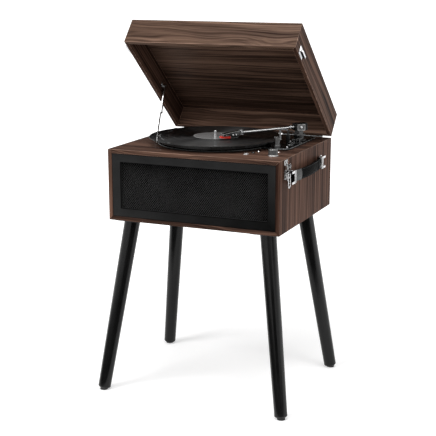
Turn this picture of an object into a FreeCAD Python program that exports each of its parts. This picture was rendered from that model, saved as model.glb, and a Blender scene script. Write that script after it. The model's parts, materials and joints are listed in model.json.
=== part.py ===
import FreeCAD, Part
import functools
import math
import os

# Suitcase record player on four splayed legs, with its lid propped open and an LP playing.
# The pieces are drawn in the cabinet's own frame, in millimetres: x right, y back, z up from the
# cabinet's underside, with x and y zero at the cabinet's middle. The last step lifts them on to the
# floor and centres the whole footprint.

V = FreeCAD.Vector
UP = V(0, 0, 1)
RIGHT = V(1, 0, 0)
BACK = V(0, 1, 0)

# Cabinet and lid
CABINET_WIDTH = 405.0
CABINET_DEPTH = 344.0
CABINET_HEIGHT = 160.0
BOARD = 9.0
LID_HEIGHT = 62.0
LID_GAP = 1.0
LID_OPEN_DEG = 41.0
REAR_PANEL_THICK = 6.0
REAR_PANEL_INSET = 3.0

# Clearances
RUNNING = 0.06
AIR = 0.4

# Legs
LEG_RISE = 400.0
LEG_SIDE_INSET = 39.5
LEG_FRONT_INSET = 38.5
LEG_BACK_INSET = 70.0
LEG_SPLAY = 55.0
LEG_TOP_R = 18.0
LEG_FOOT_R = 14.4
LEG_FOOT_CHAMFER = 2.0
LEG_END_BACKSET = 5.0
GLIDE_R = 9.0
LEG_PLATE_SIDE = 58.0
LEG_PLATE_THICK = 3.0
LEG_PLATE_SCREW_PITCH = 46.0
LEG_STUD_R = 4.0
LEG_STUD_LENGTH = 32.0

# Grille and speakers
FRAME_SIDE_RAIL = 20.0
FRAME_TOP_RAIL = 20.0
FRAME_BOTTOM_RAIL = 19.0
FRAME_RECESS = 1.0
FRAME_DEPTH = 11.0
FRAME_BEVEL = 3.0
MESH_THICK = 1.6
MESH_LAP = 6.0
BAFFLE_THICK = 9.0
SPEAKER_X = 95.0
SPEAKER_HOLE_R = 40.0
SPEAKER_FLANGE_R = 50.0
SPEAKER_FLANGE_THICK = 3.0
SPEAKER_BASKET_DEPTH = 24.0
SPEAKER_MAGNET_R = 28.0
SPEAKER_MAGNET_DEPTH = 14.0
SPEAKER_WALL = 2.0
CONE_NECK_R = 14.0
CONE_WALL = 1.2

# Hinges
HINGE_BACKSET = 2.8
HINGE_SIDE_INSET = 72.5
HINGE_LENGTH = 100.0
HINGE_MIDDLE_KNUCKLE = 40.0
HINGE_LEAF_THICK = 1.4
HINGE_LEAF_REACH = 24.0
KNUCKLE_R = 2.4
HINGE_PIN_R = 1.2

# Folding stay
STAY_BRACKET_Y = 47.0
STAY_BRACKET_RISE = 6.0
STAY_LID_Y = 34.6
STAY_LID_RISE = 26.7
STAY_LOWER_LENGTH = 50.0
STAY_LOCK_TAB = 24.0
STAY_LINK_HALF_WIDTH = 3.6
STAY_LINK_THICK = 2.0
STAY_PIN_R = 2.0
STAY_HEAD_R = 3.4
STAY_HEAD_THICK = 1.2
STAY_PLATE_THICK = 1.5
STAY_WALL_GAP = 0.8
STAY_FOOT_LENGTH = 26.0
STAY_FOOT_WIDTH = 13.0
STAY_LUG_HALF_WIDTH = 5.0

# Turntable
RECORD_LEFT_ROOM = 35.7
RECORD_RIGHT_ROOM = 67.7
RECORD_FRONT_ROOM = 16.2
RECORD_BACK_ROOM = 26.2
RECORD_THICK = 1.9
RECORD_LABEL_R = 50.0
RECORD_LABEL_THICK = 0.15
RECORD_OVERHANG = 26.8
MAT_THICK = 1.5
PLATTER_LIP = 2.0
PLATTER_WALL = 3.0
PLATTER_HEIGHT = 8.0
DRIVE_RING_INSET = 37.0
DRIVE_RING_WALL = 4.0
PLATTER_HUB_R = 12.0
SPINDLE_R = 3.6
SPINDLE_TIP_R = 3.35
SPINDLE_TIP_ROUND = 1.8
SPINDLE_RISE = 29.0
SPINDLE_DROP = 20.0
BUSH_R = 6.0
BUSH_FLANGE_R = 10.0
BUSH_FLANGE_THICK = 1.0
PLATE_THICK = 4.0
PLATE_LIP = 4.0
PLATE_SIDE_INSET = 28.5
PLATE_BACK_INSET = 22.0
PLATE_LENGTH = 192.0
PLATE_CORNER_R = 12.0
PULLEY_R = 7.0
PULLEY_OFFSET = 17.0
PULLEY_DIRECTION_DEG = 135.0
PULLEY_HOLE_R = 5.0
PULLEY_RIM = 1.0
MOTOR_SHAFT_R = 1.5
MOTOR_R = 17.0
MOTOR_HEIGHT = 22.0
BELT_THICK = 0.7

# Tonearm, drawn pointing at the front and then swung over the record
ARM_SIDE_INSET = 48.0
ARM_BACK_INSET = 93.0
ARM_RISE = 36.0
ARM_PLAYING_DEG = 45.0
ARM_PARKED_DEG = 5.0
ARM_DIP_DEG = 2.0
ARM_TUBE_R = 3.2
ARM_TUBE_END = 150.0
PEDESTAL_BASE_R = 17.0
PEDESTAL_BASE_THICK = 4.0
PEDESTAL_R = 11.0
PEDESTAL_RISE = 17.0
YOKE_STEM_R = 3.0
YOKE_STEM_LENGTH = 11.6
YOKE_PLATE_THICK = 3.0
YOKE_EAR_THICK = 2.4
YOKE_HALF_LENGTH = 10.0
YOKE_EAR_TOP = 7.0
YOKE_EAR_DROP = 8.0
YOKE_WAIST_HALF_LENGTH = 5.0
ARM_BLOCK_HALF_WIDTH = 10.0
ARM_BLOCK_FRONT = 12.0
ARM_BLOCK_BACK = 17.0
ARM_BLOCK_HALF_HEIGHT = 8.0
ARM_PIN_R = 1.5
FERRULE_R = 4.8
FERRULE_LENGTH = 9.0
SHELL_COLLAR_R = 5.4
SHELL_COLLAR_LENGTH = 7.0
SHELL_LAP = 5.5
SHELL_LENGTH = 43.5
SHELL_BACK_HALF_WIDTH = 5.0
SHELL_FRONT_HALF_WIDTH = 8.5
SHELL_BACK_THICK = 10.0
SHELL_FRONT_THICK = 5.0
SHELL_DROP = 2.0
CARTRIDGE_HALF_WIDTH = 6.0
CARTRIDGE_LENGTH = 18.0
CARTRIDGE_HEIGHT = 6.0
CARTRIDGE_BACKSET = 18.0
STYLUS_HALF_WIDTH = 4.5
STYLUS_REACH = 5.0
STYLUS_FRONT_HEIGHT = 3.6
STYLUS_AIR = 0.35
STYLUS_TIP_R = 0.8
STYLUS_POINT_R = 0.2
STYLUS_TIP_LENGTH = 1.6
FINGER_LIFT = 8.0
FINGER_LIFT_BACKSET = 5.0
FINGER_LIFT_WIDTH = 5.0
FINGER_LIFT_THICK = 1.0

# Arm rest, clip and cueing lift
REST_REACH = 112.0
REST_FOOT_X = 10.0
REST_FOOT_Y = 9.0
REST_FOOT_HEIGHT = 6.0
REST_BODY_X = 8.0
REST_BODY_Y = 7.0
REST_SHELF_X = 11.0
REST_SHELF_THICK = 3.5
REST_TUBE_GAP = 0.8
REST_POST_WIDTH = 3.4
REST_POST_DEPTH = 4.0
REST_POST_OFFSET = 4.3
CLIP_RISE = 43.6
CLIP_THICK = 2.4
CLIP_LENGTH = 17.0
CLIP_WIDTH = 5.0
CLIP_HUB_R = 3.4
CLIP_PIN_R = 1.5
CUE_BAR_REACH = 34.0
CUE_BAR_WIDTH = 5.0
CUE_BAR_THICK = 1.8
CUE_BAR_GAP = 0.5
CUE_BAR_EXTRA_DEG = 4.0
CUE_ROD_R = 2.0
CUE_GUIDE_R = 4.5
CUE_GUIDE_RISE = 20.0
CUE_ROD_FOOT = 8.0
CUE_BLOCK_SIDE_INSET = 35.0
CUE_BLOCK_BACK_INSET = 128.0
CUE_BLOCK_WIDTH = 9.0
CUE_BLOCK_LENGTH = 16.0
CUE_BLOCK_HEIGHT = 11.0
CUE_AXLE_RISE = 10.0
CUE_LEVER_REACH = 26.0
CUE_LEVER_WIDTH = 3.0
CUE_LEVER_PITCH_DEG = 12.0
CUE_HUB_R = 3.6
CUE_PIN_R = 1.5

# Deck controls
SPEED_SIDE_INSET = 43.5
SPEED_BACK_INSET = 163.0
STOP_SIDE_INSET = 46.5
STOP_BACK_INSET = 136.0
SWITCH_BOSS_R = 6.0
SWITCH_BOSS_HEIGHT = 3.0
SWITCH_CAP_R = 5.0
SWITCH_CAP_THICK = 3.0
SWITCH_TAB_LENGTH = 9.0
SWITCH_TAB_WIDTH = 3.2
SWITCH_TAB_HEIGHT = 3.0
SWITCH_STEM_R = 1.6
VOLUME_SIDE_INSET = 37.5
VOLUME_FRONT_INSET = 58.0
KNOB_R = 10.2
KNOB_HEIGHT = 15.0
KNOB_SKIRT_R = 11.8
KNOB_SKIRT_THICK = 3.0
KNOB_EDGE = 0.8
POT_SHAFT_R = 3.0
POT_BUSH_R = 4.5
POT_SIDE = 16.0
CONTROL_DEPTH = 20.0
JACK_INSETS = ((89.5, 75.0), (83.5, 92.0))
JACK_BORE_R = 1.8
JACK_BUSH_R = 3.4
JACK_COLLAR_R = 4.2
JACK_COLLAR_THICK = 1.0
JACK_BORE_DEPTH = 15.0
JACK_SIDE = 12.0
SOURCE_SIDE_INSET = 97.5
SOURCE_FRONT_INSET = 55.0
SOURCE_LENGTH = 14.0
SOURCE_WIDTH = 6.0
SOURCE_TRAVEL = 4.0
SOURCE_KNOB_LENGTH = 5.0
SOURCE_KNOB_RISE = 2.4
SOURCE_RIM = 1.0
LAMP_SIDE_INSET = 41.5
LAMP_FRONT_INSET = 104.0
LAMP_R = 2.0
LAMP_RISE = 1.0
LAMP_ROUND = 0.8
CIRCUIT_THICK = 1.6
CIRCUIT_MARGIN = 8.0

# Latches, the same on both sides
LATCH_FRONT_INSET = 34.0
LATCH_PLATE_WIDTH = 20.0
LATCH_PLATE_TOP_DROP = 2.0
LATCH_PLATE_HEIGHT = 42.0
LATCH_PLATE_THICK = 1.5
LATCH_PIN_DROP = 17.0
LATCH_PIN_STANDOFF = 5.5
LATCH_PIN_R = 1.5
LATCH_EAR_THICK = 1.5
LATCH_EAR_HALF_HEIGHT = 5.0
LATCH_BARREL_R = 3.0
LATCH_LEVER_LENGTH = 29.0
LATCH_LEVER_TOP_WIDTH = 14.0
LATCH_LEVER_END_WIDTH = 7.0
LATCH_LEVER_THICK = 1.6
BAIL_DROP = 14.0
BAIL_STANDOFF = 2.8
BAIL_WIRE_R = 1.0
BAIL_HALF_WIDTH = 6.0
BAIL_LENGTH = 30.0
BAIL_CORNER_R = 2.0
BAIL_BARREL_R = 2.1
BAIL_BARREL_HALF_LENGTH = 3.4
CATCH_WIDTH = 24.0
CATCH_HEIGHT = 20.0
CATCH_BOTTOM = 0.6
CATCH_HOOK_RISE = 6.0
CATCH_HOOK_REACH = 9.0
CATCH_HOOK_THICK = 2.0
CATCH_LIP = 3.0

# Carrying handle on the right side
HANDLE_FRONT_INSET = 159.0
HANDLE_SPACING = 182.0
HANDLE_RISE = 117.0
STRAP_WIDTH = 24.0
STRAP_THICK = 4.6
STRAP_BOW = 10.0
STRAP_END_STANDOFF = 2.0
STRAP_END_PAST_LOOP = 5.0
LOOP_LENGTH = 10.0
LOOP_WALL = 1.6
LOOP_SLOT_GAP = 0.3
LOOP_DEPTH = 11.0
HANDLE_PLATE_LENGTH = 26.0
HANDLE_PLATE_THICK = 1.4

# Rear sockets
SOCKET_X = -70.0
SOCKET_RISE = 60.0
SOCKET_PITCH = 18.0
INLET_PITCH = 21.6
SOCKET_PLATE_LENGTH = 86.0
SOCKET_PLATE_HEIGHT = 34.0
SOCKET_PLATE_THICK = 1.5
SOCKET_BODY_DEPTH = 13.0
PHONO_R = 4.15
PHONO_FLANGE_R = 5.0
PHONO_BORE_R = 1.6
PHONO_COLLAR_LENGTH = 1.5
PHONO_LENGTH = 9.0
INLET_BORE_R = 2.75
INLET_DEPTH = 10.0

# Screws
SCREW_SHANK_R = 1.3
SCREW_LENGTH = 7.5
SCREW_HEAD_R = 2.5
SCREW_HEAD_EDGE_R = 1.7
SCREW_HEAD_THICK = 1.1
SCREW_EDGE = 5.0

# Places that follow from the sizes above
HALF_W = CABINET_WIDTH / 2
HALF_D = CABINET_DEPTH / 2
INNER_X = HALF_W - BOARD
DECK = CABINET_HEIGHT
LID_BOTTOM = DECK + LID_GAP
LID_TOP = LID_BOTTOM + LID_HEIGHT
HINGE_Y = HALF_D + HINGE_BACKSET
HINGE_Z = DECK + LID_GAP / 2
FRAME_FRONT = -HALF_D + FRAME_RECESS
MESH_FRONT = FRAME_FRONT + FRAME_DEPTH
BAFFLE_FRONT = MESH_FRONT + MESH_THICK
BAFFLE_BACK = BAFFLE_FRONT + BAFFLE_THICK
REAR_FACE = HALF_D - REAR_PANEL_INSET
LEG_TOP_X = HALF_W - LEG_SIDE_INSET
LEG_FRONT_Y = -HALF_D + LEG_FRONT_INSET
LEG_BACK_Y = HALF_D - LEG_BACK_INSET
HINGE_X = HALF_W - HINGE_SIDE_INSET
RECORD_ROOM_X = CABINET_WIDTH - RECORD_LEFT_ROOM - RECORD_RIGHT_ROOM
RECORD_ROOM_Y = CABINET_DEPTH - RECORD_FRONT_ROOM - RECORD_BACK_ROOM
RECORD_R = min(RECORD_ROOM_X, RECORD_ROOM_Y) / 2
RECORD_X = HALF_W - RECORD_RIGHT_ROOM - RECORD_R
RECORD_Y = HALF_D - RECORD_BACK_ROOM - RECORD_R
MAT_R = RECORD_R - RECORD_OVERHANG
PLATTER_R = MAT_R + PLATTER_LIP
DRIVE_RING_R = PLATTER_R - DRIVE_RING_INSET
PULLEY_DISTANCE = DRIVE_RING_R + PULLEY_OFFSET
PLATE_DISC_R = PLATTER_R + PLATE_LIP
PLATE_RIGHT = HALF_W - PLATE_SIDE_INSET
PLATE_BACK = HALF_D - PLATE_BACK_INSET
PLATE_FRONT = PLATE_BACK - PLATE_LENGTH
ARM_X = HALF_W - ARM_SIDE_INSET
ARM_Y = HALF_D - ARM_BACK_INSET
SHELL_BACK = ARM_TUBE_END - SHELL_LAP
SHELL_FRONT = SHELL_BACK + SHELL_LENGTH
STYLUS_FRONT = SHELL_FRONT + STYLUS_REACH
CUE_BLOCK_X = HALF_W - CUE_BLOCK_SIDE_INSET
CUE_BLOCK_Y = HALF_D - CUE_BLOCK_BACK_INSET
SPEED_SWITCH = (HALF_W - SPEED_SIDE_INSET, HALF_D - SPEED_BACK_INSET)
STOP_SWITCH = (HALF_W - STOP_SIDE_INSET, HALF_D - STOP_BACK_INSET)
VOLUME_X = HALF_W - VOLUME_SIDE_INSET
VOLUME_Y = -HALF_D + VOLUME_FRONT_INSET
JACK_PLACES = [(HALF_W - side, -HALF_D + front) for side, front in JACK_INSETS]
SOURCE_X = HALF_W - SOURCE_SIDE_INSET
SOURCE_Y = -HALF_D + SOURCE_FRONT_INSET
LAMP_X = HALF_W - LAMP_SIDE_INSET
LAMP_Y = -HALF_D + LAMP_FRONT_INSET
LATCH_Y = -HALF_D + LATCH_FRONT_INSET
HANDLE_Y = -HALF_D + HANDLE_FRONT_INSET
SOCKET_FACE = REAR_FACE + SOCKET_PLATE_THICK + SOCKET_BODY_DEPTH
PLATE_TOP = DECK + PLATE_THICK
PLATTER_BOTTOM = PLATE_TOP + BUSH_FLANGE_THICK + AIR
PLATTER_TOP = PLATTER_BOTTOM + PLATTER_HEIGHT
RECORD_BOTTOM = PLATTER_TOP + MAT_THICK
PULLEY_FLANGE = PULLEY_RIM / 2
BELT_WIDTH = PLATTER_HEIGHT - PLATTER_WALL - 2 * (PULLEY_FLANGE + 2 * AIR)
RECORD_TOP = RECORD_BOTTOM + RECORD_THICK
ARM_AXIS = DECK + ARM_RISE
LATCH_PIN_Z = DECK - LATCH_PIN_DROP
LATCH_PIN_X = HALF_W + LATCH_PIN_STANDOFF
BAIL_X = LATCH_PIN_X + BAIL_STANDOFF
BAIL_Z = LATCH_PIN_Z - BAIL_DROP
STAY_PIVOT = V(0, STAY_BRACKET_Y, DECK + STAY_BRACKET_RISE)
STAY_LID_PIVOT_CLOSED = V(0, STAY_LID_Y, DECK + STAY_LID_RISE)
STAY_LUG_X = -INNER_X + STAY_WALL_GAP
STAY_LOWER_X = STAY_LUG_X + STAY_PLATE_THICK + AIR / 2
STAY_UPPER_X = STAY_LOWER_X + STAY_LINK_THICK + AIR
PULLEY_ANGLE = math.radians(PULLEY_DIRECTION_DEG)
PULLEY_X = RECORD_X + PULLEY_DISTANCE * math.cos(PULLEY_ANGLE)
PULLEY_Y = RECORD_Y + PULLEY_DISTANCE * math.sin(PULLEY_ANGLE)

# The footprint's middle: the open lid reaches furthest back, the feet furthest forward
LID_ANGLE = math.radians(LID_OPEN_DEG)
REAR_REACH = HINGE_Y + (LID_TOP - HINGE_Z) * math.sin(LID_ANGLE) - HINGE_BACKSET * math.cos(LID_ANGLE)
FRONT_REACH = -LEG_FRONT_Y + LEG_SPLAY + LEG_FOOT_R
PLACE = V(0, (FRONT_REACH - REAR_REACH) / 2, LEG_RISE)


# Shape helpers


def box(x0, x1, y0, y1, z0, z1):
    """Block between two limits on each axis."""
    return Part.makeBox(x1 - x0, y1 - y0, z1 - z0, V(x0, y0, z0))


def rod(radius, start, end):
    """Solid cylinder from one point to another."""
    axis = end - start
    return Part.makeCylinder(radius, axis.Length, start, axis)


def disc(radius, x, y, z0, z1):
    """Upright cylinder between two heights."""
    return rod(radius, V(x, y, z0), V(x, y, z1))


def hexahedron(near, far):
    """Solid between two four-cornered faces whose corners pair up."""
    outlines = [near, far]
    for i in range(4):
        j = (i + 1) % 4
        outlines.append([near[i], near[j], far[j], far[i]])
    faces = [Part.Face(Part.makePolygon(points + points[:1])) for points in outlines]
    solid = Part.Solid(Part.Shell(faces))
    if solid.Volume < 0:
        solid.reverse()
    return solid


def prism(points, travel):
    """Straight-sided outline swept along a straight travel."""
    return Part.Face(Part.makePolygon(points + points[:1])).extrude(travel)


def turned(outline, x, y, z):
    """Outline of radius and height points turned about an upright axis through a point."""
    points = [V(r, 0, h) for r, h in outline]
    face = Part.Face(Part.makePolygon(points + points[:1]))
    return face.revolve(V(0, 0, 0), UP, 360).translated(V(x, y, z))


def fused(pieces):
    """One solid from pieces that meet."""
    return pieces[0].multiFuse(pieces[1:]).removeSplitter()


def group(pieces):
    """Separate solids kept together in one node."""
    return Part.Compound(pieces)


def both_sides(piece):
    """A right-hand piece and its mirror image on the left."""
    return group([piece, left_of(piece)])


def left_of(piece):
    """The left-hand mirror image of a right-hand piece."""
    return piece.mirror(V(0, 0, 0), RIGHT)


def opened(piece):
    """A lid piece drawn shut, swung up to the propped angle."""
    return piece.rotated(V(0, HINGE_Y, HINGE_Z), RIGHT, -LID_OPEN_DEG)


def swung(piece, degrees):
    """A piece drawn forward of the tonearm's upright axis, swung over by an angle."""
    return piece.rotated(V(0, 0, 0), UP, -degrees).translated(V(ARM_X, ARM_Y, 0))


def playing(piece):
    """A piece of the arm drawn level and pointing forward, dipped to the record and swung over it."""
    return swung(piece.rotated(V(0, 0, ARM_AXIS), RIGHT, ARM_DIP_DEG), ARM_PLAYING_DEG)


def tube_underside(reach):
    """Height of the dipped tube's underside at a distance from the arm's axis."""
    dip = math.radians(ARM_DIP_DEG)
    return ARM_AXIS - reach * math.tan(dip) - ARM_TUBE_R / math.cos(dip)


def rectangle(y, half_width, z0, z1):
    """Four corners of an upright rectangle across the object at one depth."""
    return [V(-half_width, y, z0), V(half_width, y, z0), V(half_width, y, z1), V(-half_width, y, z1)]


# Screws


def screw(seat, inward):
    """Pan-head screw from the point under its head, driven inward."""
    shank = rod(SCREW_SHANK_R, seat, seat + inward * SCREW_LENGTH)
    head = Part.makeCone(SCREW_HEAD_R, SCREW_HEAD_EDGE_R, SCREW_HEAD_THICK, seat, inward * -1)
    return shank.fuse(head).removeSplitter()


def leg_plate_screws():
    """Four screws through each leg plate, up into the cabinet's bottom."""
    pitch = LEG_PLATE_SCREW_PITCH / 2
    screws = []
    for x, y in leg_tops():
        for dx in (-pitch, pitch):
            for dy in (-pitch, pitch):
                screws.append(screw(V(x + dx, y + dy, -LEG_PLATE_THICK), UP))
    return screws


def latch_screws():
    """Two screws in each latch's base plate, above and below its ears."""
    seat_x = HALF_W + LATCH_PLATE_THICK
    top = DECK - LATCH_PLATE_TOP_DROP
    heights = (top - SCREW_EDGE, top - LATCH_PLATE_HEIGHT + SCREW_EDGE)
    right = [screw(V(seat_x, LATCH_Y, z), RIGHT * -1) for z in heights]
    return right + [left_of(piece) for piece in right]


def handle_screws():
    """One screw in the free end of each handle plate."""
    seat_x = HALF_W + HANDLE_PLATE_THICK
    reach = HANDLE_SPACING / 2 + LOOP_LENGTH / 2 + (HANDLE_PLATE_LENGTH - LOOP_LENGTH) / 2
    return [screw(V(seat_x, HANDLE_Y + side * reach, HANDLE_RISE), RIGHT * -1) for side in (-1, 1)]


def hinge_screws(height):
    """Three screws in one leaf of each hinge, driven forward."""
    seat_y = HALF_D + HINGE_LEAF_THICK
    third = HINGE_LENGTH / 3
    screws = []
    for side in (-1, 1):
        for step in (-1, 0, 1):
            screws.append(screw(V(side * HINGE_X + step * third, seat_y, height), BACK * -1))
    return screws


def stay_foot_screws():
    """Two screws through the stay's lower bracket into the deck."""
    x = STAY_LUG_X + (STAY_FOOT_WIDTH + STAY_PLATE_THICK) / 2
    reach = STAY_FOOT_LENGTH / 2 - SCREW_EDGE
    return [screw(V(x, STAY_BRACKET_Y + side * reach, DECK + STAY_PLATE_THICK), UP * -1) for side in (-1, 1)]


def stay_lid_screws():
    """Two screws through the stay's upper plate into the lid's left side."""
    reach = STAY_FOOT_LENGTH / 2 - SCREW_EDGE
    z = STAY_LID_PIVOT_CLOSED.z
    seat_x = -INNER_X + STAY_PLATE_THICK
    return [screw(V(seat_x, STAY_LID_Y + side * reach, z), RIGHT * -1) for side in (-1, 1)]


def catch_screws():
    """One screw above the hook of each lid catch."""
    z = LID_BOTTOM + CATCH_BOTTOM + CATCH_HEIGHT - SCREW_EDGE
    right = screw(V(HALF_W + LATCH_PLATE_THICK, LATCH_Y, z), RIGHT * -1)
    return [right, left_of(right)]


def socket_screws():
    """Two screws at the ends of the rear socket plate."""
    reach = SOCKET_PLATE_LENGTH / 2 - SCREW_EDGE
    seat_y = REAR_FACE + SOCKET_PLATE_THICK
    return [screw(V(SOCKET_X + side * reach, seat_y, SOCKET_RISE), BACK * -1) for side in (-1, 1)]


@functools.cache
def case_screws():
    """Every screw that stays with the cabinet."""
    lower_leaf = hinge_screws(HINGE_Z - HINGE_LEAF_REACH + SCREW_EDGE)
    screws = leg_plate_screws() + latch_screws() + handle_screws() + lower_leaf
    return group(screws + stay_foot_screws() + socket_screws())


@functools.cache
def shut_lid_screws():
    """Every screw that moves with the lid, drawn with the lid shut."""
    upper_leaf = hinge_screws(HINGE_Z + HINGE_LEAF_REACH - SCREW_EDGE)
    return group(upper_leaf + stay_lid_screws() + catch_screws())


def lid_screws():
    """The lid's screws where the open lid holds them."""
    return opened(shut_lid_screws())


# Cabinet


def side_panels():
    """Mitred left and right boards."""
    outline = [
        V(HALF_W, -HALF_D, 0),
        V(HALF_W, -HALF_D, DECK),
        V(INNER_X, -HALF_D, DECK - BOARD),
        V(INNER_X, -HALF_D, BOARD),
    ]
    return both_sides(prism(outline, BACK * CABINET_DEPTH)).cut(case_screws())


def deck_panel():
    """Mitred top board with the holes for the turntable and controls."""
    outline = [
        V(-HALF_W, -HALF_D, DECK),
        V(HALF_W, -HALF_D, DECK),
        V(INNER_X, -HALF_D, DECK - BOARD),
        V(-INNER_X, -HALF_D, DECK - BOARD),
    ]
    holes = [
        disc(BUSH_R, RECORD_X, RECORD_Y, DECK - BOARD, DECK),
        disc(PULLEY_HOLE_R, PULLEY_X, PULLEY_Y, DECK - BOARD, DECK),
        disc(POT_BUSH_R, VOLUME_X, VOLUME_Y, DECK - BOARD, DECK),
        disc(LAMP_R, LAMP_X, LAMP_Y, DECK - BOARD, DECK),
        source_well(SOURCE_LENGTH, SOURCE_WIDTH, DECK - BOARD, DECK),
        case_screws(),
    ]
    holes += [disc(JACK_BUSH_R, x, y, DECK - BOARD, DECK) for x, y in JACK_PLACES]
    return prism(outline, BACK * CABINET_DEPTH).cut(holes)


def bottom_panel():
    """Mitred bottom board."""
    outline = [
        V(-HALF_W, -HALF_D, 0),
        V(HALF_W, -HALF_D, 0),
        V(INNER_X, -HALF_D, BOARD),
        V(-INNER_X, -HALF_D, BOARD),
    ]
    return prism(outline, BACK * CABINET_DEPTH).cut(case_screws())


def rear_panel():
    """Back board set in between the four mitred boards."""
    panel = box(-INNER_X, INNER_X, REAR_FACE - REAR_PANEL_THICK, REAR_FACE, BOARD, DECK - BOARD)
    return panel.cut(case_screws())


def grille_frame():
    """Four bevelled rails, mitred at the corners."""
    bottom = BOARD
    top = DECK - BOARD
    outer = rectangle(FRAME_FRONT, INNER_X, bottom, top)
    inner_half = INNER_X - FRAME_SIDE_RAIL
    inner = rectangle(FRAME_FRONT + FRAME_BEVEL, inner_half, bottom + FRAME_BOTTOM_RAIL, top - FRAME_TOP_RAIL)
    outer_back = [V(p.x, MESH_FRONT, p.z) for p in outer]
    inner_back = [V(p.x, MESH_FRONT, p.z) for p in inner]
    rails = []
    for i in range(4):
        j = (i + 1) % 4
        front = [outer[i], outer[j], inner[j], inner[i]]
        back = [outer_back[i], outer_back[j], inner_back[j], inner_back[i]]
        rails.append(hexahedron(front, back))
    return group(rails)


def grille_mesh():
    """Sheet of mesh held behind the frame's opening."""
    half = INNER_X - FRAME_SIDE_RAIL + MESH_LAP
    bottom = BOARD + FRAME_BOTTOM_RAIL - MESH_LAP
    top = DECK - BOARD - FRAME_TOP_RAIL + MESH_LAP
    return box(-half, half, MESH_FRONT, BAFFLE_FRONT, bottom, top)


def speaker_places():
    """Middle of each speaker hole, at the baffle's back."""
    z = CABINET_HEIGHT / 2
    return [V(side * SPEAKER_X, BAFFLE_BACK, z) for side in (-1, 1)]


def speaker_baffle():
    """Board behind the mesh with the two speaker holes."""
    board = box(-INNER_X, INNER_X, BAFFLE_FRONT, BAFFLE_BACK, BOARD, DECK - BOARD)
    holes = [rod(SPEAKER_HOLE_R, p - BACK * BAFFLE_THICK, p) for p in speaker_places()]
    return board.cut(holes)


def speaker_frame():
    """Flanged basket and magnet, facing up."""
    flange = SPEAKER_FLANGE_THICK
    depth = flange + SPEAKER_BASKET_DEPTH
    outline = [
        (SPEAKER_HOLE_R, 0),
        (SPEAKER_FLANGE_R, 0),
        (SPEAKER_FLANGE_R, flange),
        (SPEAKER_HOLE_R + SPEAKER_WALL, flange),
        (SPEAKER_MAGNET_R, depth),
        (SPEAKER_MAGNET_R, depth + SPEAKER_MAGNET_DEPTH),
        (0, depth + SPEAKER_MAGNET_DEPTH),
        (0, depth),
        (SPEAKER_MAGNET_R - SPEAKER_WALL, depth),
    ]
    return turned(outline, 0, 0, 0)


def speaker_cone():
    """Paper cone that hangs inside the basket, facing up."""
    rim = SPEAKER_HOLE_R - CONE_WALL
    depth = SPEAKER_BASKET_DEPTH - SPEAKER_FLANGE_THICK
    outline = [
        (SPEAKER_HOLE_R, 0),
        (SPEAKER_HOLE_R, CONE_WALL),
        (rim, CONE_WALL),
        (CONE_NECK_R, depth),
        (0, depth),
        (0, depth - CONE_WALL),
        (CONE_NECK_R - CONE_WALL, depth - CONE_WALL),
        (rim - CONE_WALL, 0),
    ]
    return turned(outline, 0, 0, 0)


def speakers():
    """Two speakers behind the baffle, each a basket and its cone."""
    facing_front = group([speaker_frame(), speaker_cone()]).rotated(V(0, 0, 0), RIGHT, -90)
    return group([facing_front.translated(p) for p in speaker_places()])


# Legs


def leg_tops():
    """Where each leg's axis meets the cabinet's underside."""
    return [(x, y) for x in (-LEG_TOP_X, LEG_TOP_X) for y in (LEG_FRONT_Y, LEG_BACK_Y)]


def leg_axis(x, y):
    """Unit direction down a leg, splayed away from the middle both ways."""
    side_x = math.copysign(LEG_SPLAY, x)
    side_y = math.copysign(LEG_SPLAY, y)
    return V(side_x, side_y, -LEG_RISE).normalize()


def leg_length():
    """Slant length from the cabinet's underside to the floor."""
    return V(LEG_SPLAY, LEG_SPLAY, LEG_RISE).Length


def leg(x, y):
    """Tapered round leg, cut level under its plate and square at its foot."""
    axis = leg_axis(x, y)
    top = V(x, y, 0)
    overrun = LEG_TOP_R
    length = leg_length() - LEG_END_BACKSET - LEG_FOOT_CHAMFER
    taper = (LEG_TOP_R - LEG_FOOT_R) / length
    start = top - axis * overrun
    shaft = Part.makeCone(LEG_TOP_R + taper * overrun, LEG_FOOT_R, length + overrun, start, axis)
    foot_r = LEG_FOOT_R - LEG_FOOT_CHAMFER
    foot = Part.makeCone(LEG_FOOT_R, foot_r, LEG_FOOT_CHAMFER, top + axis * length, axis)
    reach = LEG_TOP_R + overrun
    above = box(x - reach, x + reach, y - reach, y + reach, -LEG_PLATE_THICK, reach)
    stud = rod(LEG_STUD_R, top, top + axis * LEG_STUD_LENGTH)
    return shaft.fuse(foot).removeSplitter().cut([above, stud])


def legs():
    """The four legs."""
    return group([leg(x, y) for x, y in leg_tops()])


def leg_plates():
    """Screwed plate under each corner with the slanted stud that holds its leg."""
    half = LEG_PLATE_SIDE / 2
    plates = []
    for x, y in leg_tops():
        plate = box(x - half, x + half, y - half, y + half, -LEG_PLATE_THICK, 0)
        axis = leg_axis(x, y)
        stud = rod(LEG_STUD_R, V(x, y, 0) - axis * LEG_STUD_R, V(x, y, 0) + axis * LEG_STUD_LENGTH)
        below = box(x - half, x + half, y - half, y + half, -LEG_RISE, 0)
        plates.append(plate.fuse(stud.common(below)).removeSplitter().cut(case_screws()))
    return group(plates)


def leg_glides():
    """Pad under each foot, cut level with the floor."""
    pads = []
    for x, y in leg_tops():
        axis = leg_axis(x, y)
        foot = V(x, y, 0) + axis * leg_length()
        pad = rod(GLIDE_R, foot - axis * LEG_END_BACKSET, foot + axis * GLIDE_R)
        reach = LEG_SPLAY
        floor = -LEG_RISE
        under = box(foot.x - reach, foot.x + reach, foot.y - reach, foot.y + reach, floor - reach, floor)
        pads.append(pad.cut(under))
    return group(pads)


# Turntable


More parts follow.
